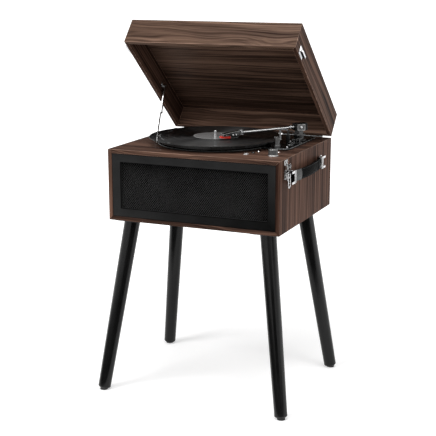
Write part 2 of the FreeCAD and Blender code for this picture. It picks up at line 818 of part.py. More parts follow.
def turntable_plate():
    """Raised black base under the platter, with the tonearm's shelf, switch bosses and cue block."""
    shelf = box(RECORD_X, PLATE_RIGHT, PLATE_FRONT, PLATE_BACK, DECK, PLATE_TOP)
    right = [e for e in shelf.Edges if abs(e.Length - PLATE_THICK) < RUNNING and e.CenterOfMass.x > RECORD_X]
    shelf = shelf.makeFillet(PLATE_CORNER_R, right)
    pieces = [shelf, disc(PLATE_DISC_R, RECORD_X, RECORD_Y, DECK, PLATE_TOP)]
    for x, y in (SPEED_SWITCH, STOP_SWITCH):
        pieces.append(disc(SWITCH_BOSS_R, x, y, DECK, PLATE_TOP + SWITCH_BOSS_HEIGHT))
    pieces.append(cue_block())
    holes = [
        disc(BUSH_R, RECORD_X, RECORD_Y, DECK, PLATE_TOP),
        disc(PULLEY_HOLE_R, PULLEY_X, PULLEY_Y, DECK, PLATE_TOP),
    ]
    for x, y in (SPEED_SWITCH, STOP_SWITCH):
        holes.append(disc(SWITCH_STEM_R + RUNNING, x, y, DECK, PLATE_TOP + SWITCH_BOSS_HEIGHT))
    return fused(pieces).cut(holes)


def bearing_bush():
    """Flanged bush that carries the spindle through the deck."""
    bore = SPINDLE_R + RUNNING
    top = PLATE_TOP + BUSH_FLANGE_THICK - DECK
    outline = [
        (bore, -SPINDLE_DROP),
        (BUSH_R, -SPINDLE_DROP),
        (BUSH_R, PLATE_THICK),
        (BUSH_FLANGE_R, PLATE_THICK),
        (BUSH_FLANGE_R, top),
        (bore, top),
    ]
    return turned(outline, RECORD_X, RECORD_Y, DECK)


def platter():
    """Platter with its outer skirt, drive ring and hub."""
    inner = PLATTER_R - PLATTER_WALL
    web = PLATTER_HEIGHT - PLATTER_WALL
    outline = [
        (SPINDLE_R, 0),
        (PLATTER_HUB_R, 0),
        (PLATTER_HUB_R, web),
        (DRIVE_RING_R - DRIVE_RING_WALL, web),
        (DRIVE_RING_R - DRIVE_RING_WALL, 0),
        (DRIVE_RING_R, 0),
        (DRIVE_RING_R, web),
        (inner, web),
        (inner, 0),
        (PLATTER_R, 0),
        (PLATTER_R, PLATTER_HEIGHT),
        (SPINDLE_R, PLATTER_HEIGHT),
    ]
    return turned(outline, RECORD_X, RECORD_Y, PLATTER_BOTTOM)


def ring(radius, bore, bottom, top):
    """Flat ring round the spindle."""
    return disc(radius, RECORD_X, RECORD_Y, bottom, top).cut(disc(bore, RECORD_X, RECORD_Y, bottom, top))


def slip_mat():
    """Thin mat on the platter."""
    return ring(MAT_R, SPINDLE_R, PLATTER_TOP, RECORD_BOTTOM)


def record():
    """The LP."""
    return ring(RECORD_R, SPINDLE_R, RECORD_BOTTOM, RECORD_TOP)


def record_label():
    """Paper label on the LP."""
    return ring(RECORD_LABEL_R, SPINDLE_R, RECORD_TOP, RECORD_TOP + RECORD_LABEL_THICK)


def spindle():
    """Spindle, a little slimmer above the label, with a rounded tip."""
    step = RECORD_TOP + RECORD_LABEL_THICK
    shaft = disc(SPINDLE_R, RECORD_X, RECORD_Y, DECK - SPINDLE_DROP, step)
    free_end = disc(SPINDLE_TIP_R, RECORD_X, RECORD_Y, step, DECK + SPINDLE_RISE)
    tip = [e for e in free_end.Edges if abs(e.CenterOfMass.z - DECK - SPINDLE_RISE) < RUNNING]
    return fused([shaft, free_end.makeFillet(SPINDLE_TIP_ROUND, tip)])


def motor():
    """Motor can hung under the deck."""
    top = DECK - BOARD
    can = disc(MOTOR_R, PULLEY_X, PULLEY_Y, top - MOTOR_HEIGHT, top)
    return can.cut(disc(MOTOR_SHAFT_R + RUNNING, PULLEY_X, PULLEY_Y, top - MOTOR_HEIGHT, top))


def belt_bottom():
    """Height of the belt's lower edge, midway up the drive ring."""
    return PLATTER_BOTTOM + (PLATTER_HEIGHT - PLATTER_WALL - BELT_WIDTH) / 2


def motor_pulley():
    """Flanged pulley on the motor's shaft."""
    low = belt_bottom() - AIR - DECK
    high = belt_bottom() + BELT_WIDTH + AIR - DECK
    rim = PULLEY_R + PULLEY_RIM
    outline = [
        (0, -BOARD - MOTOR_HEIGHT),
        (MOTOR_SHAFT_R, -BOARD - MOTOR_HEIGHT),
        (MOTOR_SHAFT_R, low - PULLEY_FLANGE),
        (rim, low - PULLEY_FLANGE),
        (PULLEY_R, low),
        (PULLEY_R, high),
        (rim, high + PULLEY_FLANGE),
        (0, high + PULLEY_FLANGE),
    ]
    return turned(outline, PULLEY_X, PULLEY_Y, DECK)


def belt_outline(ring_r, pulley_r):
    """Face inside a loop round the drive ring and the pulley, with the pulley towards +x."""
    lean = math.acos((ring_r - pulley_r) / PULLEY_DISTANCE)
    normal = V(math.cos(lean), math.sin(lean), 0)
    mirrored = V(normal.x, -normal.y, 0)
    far = V(PULLEY_DISTANCE, 0, 0)
    edges = [
        Part.LineSegment(normal * ring_r, far + normal * pulley_r).toShape(),
        Part.Arc(far + normal * pulley_r, far + RIGHT * pulley_r, far + mirrored * pulley_r).toShape(),
        Part.LineSegment(far + mirrored * pulley_r, mirrored * ring_r).toShape(),
        Part.Arc(mirrored * ring_r, RIGHT * -ring_r, normal * ring_r).toShape(),
    ]
    return Part.Face(Part.Wire(edges))


def drive_belt():
    """Flat belt from the pulley round the platter's drive ring."""
    outer = belt_outline(DRIVE_RING_R + AIR + BELT_THICK, PULLEY_R + AIR + BELT_THICK)
    inner = belt_outline(DRIVE_RING_R + AIR, PULLEY_R + AIR)
    loop = outer.cut(inner).extrude(UP * BELT_WIDTH)
    turned_loop = loop.rotated(V(0, 0, 0), UP, PULLEY_DIRECTION_DEG)
    return turned_loop.translated(V(RECORD_X, RECORD_Y, belt_bottom()))


# Tonearm


def tonearm_pedestal():
    """Column that carries the tonearm, with the guide for the cueing rod."""
    bore = YOKE_STEM_R + RUNNING
    outline = [
        (bore, PLATE_THICK),
        (PEDESTAL_BASE_R, PLATE_THICK),
        (PEDESTAL_BASE_R, PLATE_THICK + PEDESTAL_BASE_THICK),
        (PEDESTAL_R, PLATE_THICK + PEDESTAL_BASE_THICK),
        (PEDESTAL_R, PEDESTAL_RISE),
        (bore, PEDESTAL_RISE),
    ]
    column = turned(outline, ARM_X, ARM_Y, DECK)
    x, y = cue_rod_place()
    guide = disc(CUE_GUIDE_R, x, y, PLATE_TOP, DECK + CUE_GUIDE_RISE)
    hole = disc(CUE_ROD_R + RUNNING, x, y, PLATE_TOP, DECK + CUE_GUIDE_RISE)
    return group([column, guide.cut(hole)])


def tonearm_yoke():
    """Swinging fork with a stem in the pedestal and an ear each side of the arm's block."""
    bottom = DECK + PEDESTAL_RISE + AIR
    stem = disc(YOKE_STEM_R, 0, 0, bottom - YOKE_STEM_LENGTH, bottom)
    inner = ARM_BLOCK_HALF_WIDTH + AIR
    outer = inner + YOKE_EAR_THICK
    length = YOKE_HALF_LENGTH
    floor = box(-outer, outer, -length, length, bottom, bottom + YOKE_PLATE_THICK)
    top = ARM_AXIS + YOKE_EAR_TOP
    ear_bottom = ARM_AXIS - YOKE_EAR_DROP
    waist = YOKE_WAIST_HALF_LENGTH
    sides = ((-outer, -inner), (inner, outer))
    webs = [box(x0, x1, -waist, waist, bottom, ear_bottom) for x0, x1 in sides]
    ears = [box(x0, x1, -length, length, ear_bottom, top) for x0, x1 in sides]
    hole = rod(ARM_PIN_R + RUNNING, V(-outer, 0, ARM_AXIS), V(outer, 0, ARM_AXIS))
    return swung(fused([stem, floor] + webs + ears).cut(hole), ARM_PLAYING_DEG)


def tonearm_block():
    """Block at the arm's root with its cross pin and the collar that grips the tube."""
    half = ARM_BLOCK_HALF_WIDTH
    height = ARM_BLOCK_HALF_HEIGHT
    body = box(-half, half, -ARM_BLOCK_FRONT, ARM_BLOCK_BACK, ARM_AXIS - height, ARM_AXIS + height)
    pin_end = half + AIR + YOKE_EAR_THICK
    pin = rod(ARM_PIN_R, V(-pin_end, 0, ARM_AXIS), V(pin_end, 0, ARM_AXIS))
    front = V(0, -ARM_BLOCK_FRONT, ARM_AXIS)
    collar = rod(FERRULE_R, front, front - BACK * FERRULE_LENGTH)
    tube = rod(ARM_TUBE_R, V(0, 0, ARM_AXIS), V(0, -ARM_TUBE_END, ARM_AXIS))
    return playing(fused([body, pin, collar]).cut(tube))


def tonearm_tube():
    """Straight tube from the block to the headshell."""
    return playing(rod(ARM_TUBE_R, V(0, 0, ARM_AXIS), V(0, -ARM_TUBE_END, ARM_AXIS)))


def shell_bottom():
    """Height of the headshell's underside at its front."""
    return ARM_AXIS - SHELL_DROP - SHELL_FRONT_THICK / 2


def cartridge_bottom():
    """Height of the cartridge's underside."""
    return shell_bottom() - CARTRIDGE_HEIGHT


def headshell():
    """Tapered headshell with its collar, its finger lift and the cartridge under it."""
    half_back = SHELL_BACK_THICK / 2
    rear = rectangle(-SHELL_BACK, SHELL_BACK_HALF_WIDTH, ARM_AXIS - half_back, ARM_AXIS + half_back)
    front_top = shell_bottom() + SHELL_FRONT_THICK
    front = rectangle(-SHELL_FRONT, SHELL_FRONT_HALF_WIDTH, shell_bottom(), front_top)
    body = hexahedron(rear, front)
    lift_y = -SHELL_FRONT + FINGER_LIFT_BACKSET
    lift_x = SHELL_FRONT_HALF_WIDTH + FINGER_LIFT
    lift_z = shell_bottom() + FINGER_LIFT_THICK
    lift = box(0, lift_x, lift_y, lift_y + FINGER_LIFT_WIDTH, lift_z, lift_z + FINGER_LIFT_THICK)
    back = -SHELL_FRONT + CARTRIDGE_BACKSET + CARTRIDGE_LENGTH
    half = CARTRIDGE_HALF_WIDTH
    cartridge = box(-half, half, back - CARTRIDGE_LENGTH, back, cartridge_bottom(), front_top)
    collar_end = V(0, -SHELL_BACK, ARM_AXIS)
    collar = rod(SHELL_COLLAR_R, collar_end + BACK * SHELL_COLLAR_LENGTH, collar_end)
    tube = rod(ARM_TUBE_R, V(0, 0, ARM_AXIS), V(0, -ARM_TUBE_END, ARM_AXIS))
    return playing(fused([body, lift, cartridge, collar]).cut(tube))


def stylus():
    """Stylus block held on the cartridge's front, with its tip just over the groove."""
    back = -SHELL_FRONT + CARTRIDGE_BACKSET
    front = -STYLUS_FRONT
    half = STYLUS_HALF_WIDTH
    top = shell_bottom() - AIR
    tip_y = (front + back) / 2
    dip = math.radians(ARM_DIP_DEG)
    tip_end = ARM_AXIS + (RECORD_TOP + STYLUS_AIR - ARM_AXIS - tip_y * math.sin(dip)) / math.cos(dip)
    bottom = tip_end + STYLUS_TIP_LENGTH
    near = rectangle(front, half, top - STYLUS_FRONT_HEIGHT, top)
    holder = hexahedron(near, rectangle(back, half, bottom, top))
    tip = Part.makeCone(STYLUS_POINT_R, STYLUS_TIP_R, top - tip_end, V(0, tip_y, tip_end), UP)
    return playing(fused([holder, tip]))


# Arm rest and cueing


def arm_rest():
    """Rest for the parked arm: foot, body, shelf and the post that carries the clip."""
    y = -REST_REACH
    shelf_top = tube_underside(REST_REACH) - REST_TUBE_GAP
    foot_top = PLATE_TOP + REST_FOOT_HEIGHT
    half_x = REST_BODY_X / 2
    half_y = REST_BODY_Y / 2
    foot_x = REST_FOOT_X / 2
    foot_y = REST_FOOT_Y / 2
    foot = box(-foot_x, foot_x, y - foot_y, y + foot_y, PLATE_TOP, foot_top)
    body = box(-half_x, half_x, y - half_y, y + half_y, foot_top, shelf_top)
    shelf = box(half_x - REST_SHELF_X, 0, y - half_y, y + half_y, shelf_top - REST_SHELF_THICK, shelf_top)
    clip_bottom = DECK + CLIP_RISE
    post_top = clip_bottom - AIR
    post_bottom = shelf_top - 2 * REST_SHELF_THICK
    post_end = REST_POST_OFFSET + REST_POST_WIDTH
    arm = box(0, post_end, y - half_y, y + half_y, post_bottom, shelf_top - REST_SHELF_THICK)
    post_half = REST_POST_DEPTH / 2
    post = box(REST_POST_OFFSET, post_end, y - post_half, y + post_half, post_bottom, post_top)
    pin = disc(CLIP_PIN_R, clip_offset(), y, post_top, clip_bottom + CLIP_THICK)
    return swung(fused([foot, body, shelf, arm, post, pin]), ARM_PARKED_DEG)


def clip_offset():
    """The clip turns on a pin over the middle of the rest's post, this far right of the parked arm."""
    return REST_POST_OFFSET + REST_POST_WIDTH / 2


def arm_clip():
    """Swinging bar that holds the parked arm down, here turned aside."""
    x = clip_offset()
    y = -REST_REACH
    bottom = DECK + CLIP_RISE
    top = bottom + CLIP_THICK
    hub = disc(CLIP_HUB_R, x, y, bottom, top)
    bar = box(x, x + CLIP_LENGTH, y - CLIP_WIDTH / 2, y + CLIP_WIDTH / 2, bottom, top)
    clip = fused([hub, bar]).cut(disc(CLIP_PIN_R + RUNNING, x, y, bottom, top))
    return swung(clip, ARM_PARKED_DEG)


def cue_rod_place():
    """The cueing rod stands under the middle of the arm's swing."""
    angle = math.radians(-90 - (ARM_PLAYING_DEG + ARM_PARKED_DEG) / 2)
    return ARM_X + CUE_BAR_REACH * math.cos(angle), ARM_Y + CUE_BAR_REACH * math.sin(angle)


def cue_lift_bar():
    """Curved bar under the tube on its rod, which lifts the arm wherever it stands."""
    top = tube_underside(CUE_BAR_REACH) - CUE_BAR_GAP
    bottom = top - CUE_BAR_THICK
    sweep = ARM_PLAYING_DEG - ARM_PARKED_DEG + 2 * CUE_BAR_EXTRA_DEG
    inner = CUE_BAR_REACH - CUE_BAR_WIDTH / 2
    profile = Part.Face(Part.makePolygon([
        V(inner, 0, bottom),
        V(inner + CUE_BAR_WIDTH, 0, bottom),
        V(inner + CUE_BAR_WIDTH, 0, top),
        V(inner, 0, top),
        V(inner, 0, bottom),
    ]))
    start = -90 - ARM_PLAYING_DEG - CUE_BAR_EXTRA_DEG
    bar = profile.revolve(V(0, 0, 0), UP, sweep).rotated(V(0, 0, 0), UP, start).translated(V(ARM_X, ARM_Y, 0))
    x, y = cue_rod_place()
    return fused([bar, disc(CUE_ROD_R, x, y, DECK + CUE_ROD_FOOT, bottom)])


def cue_block():
    """Slotted block on the base that carries the cue lever's pin."""
    half = CUE_BLOCK_WIDTH / 2
    length = CUE_BLOCK_LENGTH / 2
    x = CUE_BLOCK_X
    y = CUE_BLOCK_Y
    top = PLATE_TOP + CUE_BLOCK_HEIGHT
    block = box(x - half, x + half, y - length, y + length, DECK, top)
    slot_half = CUE_LEVER_WIDTH / 2 + AIR
    slot = box(x - slot_half, x + slot_half, y - length, y + length, PLATE_TOP + AIR, top)
    pin = rod(CUE_PIN_R, V(x - half, y, DECK + CUE_AXLE_RISE), V(x + half, y, DECK + CUE_AXLE_RISE))
    return block.cut(slot).fuse(pin)


def cue_lever():
    """Finger lever that raises and lowers the arm."""
    half = CUE_LEVER_WIDTH / 2
    x = CUE_BLOCK_X
    y = CUE_BLOCK_Y
    z = DECK + CUE_AXLE_RISE
    hub = rod(CUE_HUB_R, V(x - half, y, z), V(x + half, y, z))
    blade = box(x - half, x + half, y - CUE_LEVER_REACH, y, z - half, z + half)
    grip_y = y - CUE_LEVER_REACH
    wide = CUE_LEVER_WIDTH
    grip = box(x - wide, x + wide, grip_y - wide, grip_y + wide, z - half, z + half)
    hole = rod(CUE_PIN_R + RUNNING, V(x - half, y, z), V(x + half, y, z))
    lever = fused([hub, blade, grip]).cut(hole)
    return lever.rotated(V(x, y, z), RIGHT, -CUE_LEVER_PITCH_DEG)


# Deck controls


def switch_lever(x, y):
    """Turning switch with a finger tab, on a stem in its boss."""
    bottom = PLATE_TOP + SWITCH_BOSS_HEIGHT + AIR
    cap = disc(SWITCH_CAP_R, x, y, bottom, bottom + SWITCH_CAP_THICK)
    stem = disc(SWITCH_STEM_R, x, y, DECK + AIR, bottom)
    half = SWITCH_TAB_WIDTH / 2
    top = bottom + SWITCH_CAP_THICK + SWITCH_TAB_HEIGHT
    reach = SWITCH_TAB_LENGTH / 2
    tab = box(x - half, x + half, y - reach, y + reach, bottom, top)
    return fused([cap, stem, tab])


def speed_lever():
    """Switch that picks the speed."""
    return switch_lever(*SPEED_SWITCH)


def autostop_lever():
    """Switch that turns the automatic stop on."""
    return switch_lever(*STOP_SWITCH)


def volume_control():
    """Potentiometer under the deck with its threaded bush."""
    half = POT_SIDE / 2
    bottom = DECK - CONTROL_DEPTH
    body = box(VOLUME_X - half, VOLUME_X + half, VOLUME_Y - half, VOLUME_Y + half, bottom, DECK - BOARD)
    bush = disc(POT_BUSH_R, VOLUME_X, VOLUME_Y, DECK - BOARD, DECK)
    bore = disc(POT_SHAFT_R + RUNNING, VOLUME_X, VOLUME_Y, bottom + 2 * RUNNING, DECK)
    return fused([body, bush]).cut(bore)


def knob_body():
    """Turning body of the volume knob and its shaft."""
    body_bottom = AIR + KNOB_SKIRT_THICK
    outline = [
        (0, -CONTROL_DEPTH + BOARD),
        (POT_SHAFT_R, -CONTROL_DEPTH + BOARD),
        (POT_SHAFT_R, body_bottom),
        (KNOB_R, body_bottom),
        (KNOB_R, KNOB_HEIGHT - KNOB_EDGE),
        (KNOB_R - KNOB_EDGE, KNOB_HEIGHT),
        (0, KNOB_HEIGHT),
    ]
    return turned(outline, VOLUME_X, VOLUME_Y, DECK)


def knob_skirt():
    """Bright collar under the knob."""
    outline = [
        (POT_SHAFT_R, AIR),
        (KNOB_SKIRT_R, AIR),
        (KNOB_SKIRT_R, KNOB_SKIRT_THICK / 2),
        (KNOB_R, AIR + KNOB_SKIRT_THICK),
        (POT_SHAFT_R, AIR + KNOB_SKIRT_THICK),
    ]
    return turned(outline, VOLUME_X, VOLUME_Y, DECK)


def volume_knob():
    """Knob with its collar."""
    return group([knob_body(), knob_skirt()])


def source_well(length, width, bottom, top):
    """Upright block at the source switch's place."""
    half = width / 2
    return box(SOURCE_X - half, SOURCE_X + half, SOURCE_Y - length / 2, SOURCE_Y + length / 2, bottom, top)


def audio_jacks():
    """Two headphone and line sockets, and the body of the source switch."""
    bottom = DECK - CONTROL_DEPTH
    pieces = []
    for x, y in JACK_PLACES:
        half = JACK_SIDE / 2
        body = box(x - half, x + half, y - half, y + half, bottom, DECK - BOARD)
        bush = disc(JACK_BUSH_R, x, y, DECK - BOARD, DECK)
        collar = disc(JACK_COLLAR_R, x, y, DECK, DECK + JACK_COLLAR_THICK)
        bore = disc(JACK_BORE_R, x, y, DECK + JACK_COLLAR_THICK - JACK_BORE_DEPTH, DECK + JACK_COLLAR_THICK)
        pieces.append(fused([body, bush, collar]).cut(bore))
    body = source_well(SOURCE_LENGTH, SOURCE_WIDTH, bottom, DECK)
    pocket_length = SOURCE_KNOB_LENGTH + SOURCE_TRAVEL + 2 * AIR
    pocket = source_well(pocket_length, SOURCE_WIDTH - 2 * SOURCE_RIM, DECK - BOARD, DECK)
    pieces.append(body.cut(pocket))
    return group(pieces)


def source_switch_knob():
    """Sliding button of the source switch, at its front stop."""
    start = SOURCE_Y - (SOURCE_KNOB_LENGTH + SOURCE_TRAVEL) / 2
    half = SOURCE_WIDTH / 2 - SOURCE_RIM - AIR / 2
    end = start + SOURCE_KNOB_LENGTH
    bottom = DECK - BOARD + AIR / 2
    return box(SOURCE_X - half, SOURCE_X + half, start, end, bottom, DECK + SOURCE_KNOB_RISE)


def indicator_lamp():
    """Small lamp beside the volume knob."""
    bulb = disc(LAMP_R, LAMP_X, LAMP_Y, DECK - CONTROL_DEPTH, DECK + LAMP_RISE)
    rim = [e for e in bulb.Edges if abs(e.CenterOfMass.z - DECK - LAMP_RISE) < RUNNING]
    return bulb.makeFillet(LAMP_ROUND, rim)


def amplifier_board():
    """Circuit board under the controls."""
    xs = [VOLUME_X, SOURCE_X, LAMP_X] + [x for x, y in JACK_PLACES]
    ys = [VOLUME_Y, SOURCE_Y, LAMP_Y] + [y for x, y in JACK_PLACES]
    top = DECK - CONTROL_DEPTH
    x0 = min(xs) - CIRCUIT_MARGIN
    y0 = min(ys) - CIRCUIT_MARGIN
    return box(x0, max(xs) + CIRCUIT_MARGIN, y0, max(ys) + CIRCUIT_MARGIN, top - CIRCUIT_THICK, top)


# Rear sockets


def socket_block(half_length, half_height, front, back):
    """Block of the socket housing between two depths."""
    return box(SOCKET_X - half_length, SOCKET_X + half_length, front, back,
               SOCKET_RISE - half_height, SOCKET_RISE + half_height)


def phono_places():
    """Middle of each phono socket, on the housing's face."""
    return [V(SOCKET_X - step * SOCKET_PITCH, SOCKET_FACE, SOCKET_RISE) for step in (0, 1)]


def inlet_place():
    """Middle of the power inlet, on the housing's face."""
    return V(SOCKET_X + INLET_PITCH, SOCKET_FACE, SOCKET_RISE)


def rear_sockets():
    """Screwed-on housing with two phono sockets and the power inlet."""
    half_length = SOCKET_PLATE_LENGTH / 2
    half_height = SOCKET_PLATE_HEIGHT / 2
    flange_face = REAR_FACE + SOCKET_PLATE_THICK
    flange = socket_block(half_length, half_height, REAR_FACE, flange_face)
    body = socket_block(half_length - 2 * SCREW_EDGE, half_height - SCREW_EDGE, flange_face, SOCKET_FACE)
    pieces = [flange, body]
    holes = [case_screws()]
    for p in phono_places():
        collar_end = p + BACK * PHONO_COLLAR_LENGTH
        end = collar_end + BACK * PHONO_LENGTH
        pieces.append(rod(PHONO_FLANGE_R, p, collar_end))
        pieces.append(rod(PHONO_R, collar_end, end))
        holes.append(rod(PHONO_BORE_R, p, end))
    inlet = inlet_place()
    holes.append(rod(INLET_BORE_R, inlet - BACK * INLET_DEPTH, inlet))
    return fused(pieces).cut(holes)


# Lid


def lid_top_panel():
    """Mitred top board of the lid."""
    top = [V(x, y, LID_TOP) for x, y in corners(HALF_W, HALF_D)]
    ceiling = [V(x, y, LID_TOP - BOARD) for x, y in corners(INNER_X, HALF_D - BOARD)]
    return opened(hexahedron(top, ceiling))


def corners(half_x, half_y):
    """Corners of a rectangle about the middle, in turn."""
    return [(-half_x, -half_y), (half_x, -half_y), (half_x, half_y), (-half_x, half_y)]


def lid_wall(face_y, inner_y):
    """Front or rear board of the lid, mitred on three edges."""
    outer = rectangle(face_y, HALF_W, LID_BOTTOM, LID_TOP)
    inner = rectangle(inner_y, INNER_X, LID_BOTTOM, LID_TOP - BOARD)
    return opened(hexahedron(outer, inner).cut(shut_lid_screws()))


def lid_front_panel():
    """Front board of the lid."""
    return lid_wall(-HALF_D, -HALF_D + BOARD)


def lid_rear_panel():
    """Rear board of the lid."""
    return lid_wall(HALF_D, HALF_D - BOARD)


def lid_side_panels():
    """Left and right boards of the lid, mitred on three edges."""
    outer = [V(HALF_W, y, z) for y, z in lid_side_corners(HALF_D, LID_TOP)]
    inner = [V(INNER_X, y, z) for y, z in lid_side_corners(HALF_D - BOARD, LID_TOP - BOARD)]
    return opened(both_sides(hexahedron(outer, inner)).cut(shut_lid_screws()))


def lid_side_corners(half_y, top):
    """Corners of a lid side in turn."""
    return [(-half_y, LID_BOTTOM), (half_y, LID_BOTTOM), (half_y, top), (-half_y, top)]


# Hinges


def knuckle_spans():
    """Lengths along a hinge of its two outer knuckles and its middle one, from its middle."""
    half = HINGE_LENGTH / 2
    middle = HINGE_MIDDLE_KNUCKLE / 2
    outer = [(-half, -middle - AIR), (middle + AIR, half)]
    return outer, [(-middle, middle)]


def hinge_rod(radius, x, span):
    """Cylinder along the hinge axis over one span."""
    return rod(radius, V(x + span[0], HINGE_Y, HINGE_Z), V(x + span[1], HINGE_Y, HINGE_Z))


def hinge_leaf(x, z0, z1, spans, other_spans):
    """Flat leaf on the rear face with its knuckles, cleared for the other leaf's."""
    half = HINGE_LENGTH / 2
    plate = box(x - half, x + half, HALF_D, HALF_D + HINGE_LEAF_THICK, z0, z1)
    webs = [box(x + a, x + b, HALF_D, HINGE_Y, HINGE_Z - KNUCKLE_R, HINGE_Z + KNUCKLE_R) for a, b in spans]
    webs = [web.common(box(x - half, x + half, HALF_D, HINGE_Y, z0, z1)) for web in webs]
    knuckles = [hinge_rod(KNUCKLE_R, x, span) for span in spans]
    clear = [hinge_rod(KNUCKLE_R + AIR, x, (a - AIR, b + AIR)) for a, b in other_spans]
    return fused([plate.cut(clear)] + webs + knuckles)


def hinge_leaves_lower():
    """Leaves on the cabinet with their riveted pins."""
    outer, middle = knuckle_spans()
    leaves = []
    for x in (-HINGE_X, HINGE_X):
        leaf = hinge_leaf(x, HINGE_Z - HINGE_LEAF_REACH, HINGE_Z - AIR, outer, middle)
        pin = hinge_rod(HINGE_PIN_R, x, (-HINGE_LENGTH / 2, HINGE_LENGTH / 2))
        leaves.append(fused([leaf, pin]).cut(case_screws()))
    return group(leaves)


def hinge_leaves_upper():
    """Leaves on the lid."""
    outer, middle = knuckle_spans()
    leaves = []
    for x in (-HINGE_X, HINGE_X):
        leaf = hinge_leaf(x, HINGE_Z + AIR, HINGE_Z + HINGE_LEAF_REACH, middle, outer)
        hole = hinge_rod(HINGE_PIN_R + RUNNING, x, middle[0])
        leaves.append(leaf.cut([hole, shut_lid_screws()]))
    return opened(group(leaves))


# Folding stay


def lid_point(point):
    """Where a point of the shut lid is when the lid is propped open."""
    turn = FreeCAD.Rotation(RIGHT, -LID_OPEN_DEG)
    hinge = V(point.x, HINGE_Y, HINGE_Z)
    return hinge + turn.multVec(point - hinge)


def stay_run():
    """Direction and length from the lower pivot to the lid's pivot, with the stay straight."""
    run = lid_point(STAY_LID_PIVOT_CLOSED) - STAY_PIVOT
    length = run.Length
    return run.normalize(), length


def stay_upper_length():
    """Length of the upper link between its pivots."""
    return stay_run()[1] - STAY_LOWER_LENGTH


def bar(start, end, x):
    """Round-ended flat link in an upright plane, from one pivot to another."""
    along = (end - start).normalize()
    across = RIGHT.cross(along) * STAY_LINK_HALF_WIDTH
    shift = RIGHT * x
    outline = [start + across + shift, end + across + shift, end - across + shift, start - across + shift]
    travel = RIGHT * STAY_LINK_THICK
    ends = [rod(STAY_LINK_HALF_WIDTH, p + shift, p + shift + travel) for p in (start, end)]
    return fused([prism(outline, travel)] + ends)


def stay_knuckle():
    """The pivot between the two links."""
    return STAY_PIVOT + stay_run()[0] * STAY_LOWER_LENGTH


def stay_lower_link():
    """Link on the cabinet's bracket, with the tab past the knuckle that locks the stay straight."""
    knuckle = stay_knuckle()
    link = bar(STAY_PIVOT, knuckle + stay_run()[0] * STAY_LOCK_TAB, STAY_LOWER_X)
    rivet = knuckle + RIGHT * STAY_LOWER_X
    head = rod(STAY_HEAD_R, rivet, rivet - RIGHT * STAY_HEAD_THICK)
    hole_start = STAY_PIVOT + RIGHT * STAY_LOWER_X
    hole = rod(STAY_PIN_R + RUNNING, hole_start, hole_start + RIGHT * STAY_LINK_THICK)
    return fused([link, head]).cut(hole)


def stay_upper_link():
    """Link on the lid's bracket, which meets the lower link at the knuckle."""
    knuckle = stay_knuckle()
    top = lid_point(STAY_LID_PIVOT_CLOSED)
    outside = STAY_UPPER_X + STAY_LINK_THICK
    head = rod(STAY_HEAD_R, knuckle + RIGHT * outside, knuckle + RIGHT * (outside + STAY_HEAD_THICK))
    hole = rod(STAY_PIN_R + RUNNING, top + RIGHT * STAY_UPPER_X, top + RIGHT * outside)
    return fused([bar(knuckle, top, STAY_UPPER_X), head]).cut(hole)


def stay_lower_bracket():
    """Angle bracket on the deck with the lower link's pin."""
    half = STAY_FOOT_LENGTH / 2
    foot_end = STAY_LUG_X + STAY_FOOT_WIDTH
    y = STAY_BRACKET_Y
    foot = box(STAY_LUG_X, foot_end, y - half, y + half, DECK, DECK + STAY_PLATE_THICK)
    lug_x = STAY_LUG_X + STAY_PLATE_THICK
    lug_half = STAY_LUG_HALF_WIDTH
    lug = box(STAY_LUG_X, lug_x, y - lug_half, y + lug_half, DECK, STAY_PIVOT.z)
    crown = rod(lug_half, STAY_PIVOT + RIGHT * STAY_LUG_X, STAY_PIVOT + RIGHT * lug_x)
    head_x = STAY_LOWER_X + STAY_LINK_THICK + AIR / 2
    pin = rod(STAY_PIN_R, STAY_PIVOT + RIGHT * STAY_LUG_X, STAY_PIVOT + RIGHT * head_x)
    head = rod(STAY_HEAD_R, STAY_PIVOT + RIGHT * head_x, STAY_PIVOT + RIGHT * (head_x + STAY_HEAD_THICK))
    return fused([foot, lug, crown, pin, head]).cut(case_screws())


def stay_upper_bracket():
    """Plate on the lid's left side with the upper link's pin."""
    half = STAY_FOOT_LENGTH / 2
    p = STAY_LID_PIVOT_CLOSED
    plate_x = -INNER_X + STAY_PLATE_THICK
    lug_half = STAY_LUG_HALF_WIDTH
    plate = box(-INNER_X, plate_x, p.y - half, p.y + half, p.z - lug_half, p.z + lug_half)
    shoulder_x = STAY_UPPER_X - AIR / 2
    head_x = STAY_UPPER_X + STAY_LINK_THICK + AIR / 2
    shoulder = rod(STAY_HEAD_R, p + RIGHT * plate_x, p + RIGHT * shoulder_x)
    pin = rod(STAY_PIN_R, p + RIGHT * plate_x, p + RIGHT * head_x)
    head = rod(STAY_HEAD_R, p + RIGHT * head_x, p + RIGHT * (head_x + STAY_HEAD_THICK))
    return opened(fused([plate, shoulder, pin, head]).cut(shut_lid_screws()))


# Latches


def latch_bases():
    """Base plate on each side with two ears and the lever's pin."""
    half = LATCH_PLATE_WIDTH / 2
    top = DECK - LATCH_PLATE_TOP_DROP
    face = HALF_W + LATCH_PLATE_THICK
    y = LATCH_Y
    z = LATCH_PIN_Z
    plate = box(HALF_W, face, y - half, y + half, top - LATCH_PLATE_HEIGHT, top)
    ear_half = LATCH_EAR_HALF_HEIGHT
    ear_end = LATCH_PIN_X + LATCH_BARREL_R
    pieces = [plate]
    for start in (y - half, y + half - LATCH_EAR_THICK):
        pieces.append(box(HALF_W, ear_end, start, start + LATCH_EAR_THICK, z - ear_half, z + ear_half))
    pieces.append(rod(LATCH_PIN_R, V(LATCH_PIN_X, y - half, z), V(LATCH_PIN_X, y + half, z)))
    return both_sides(fused(pieces)).cut(case_screws())


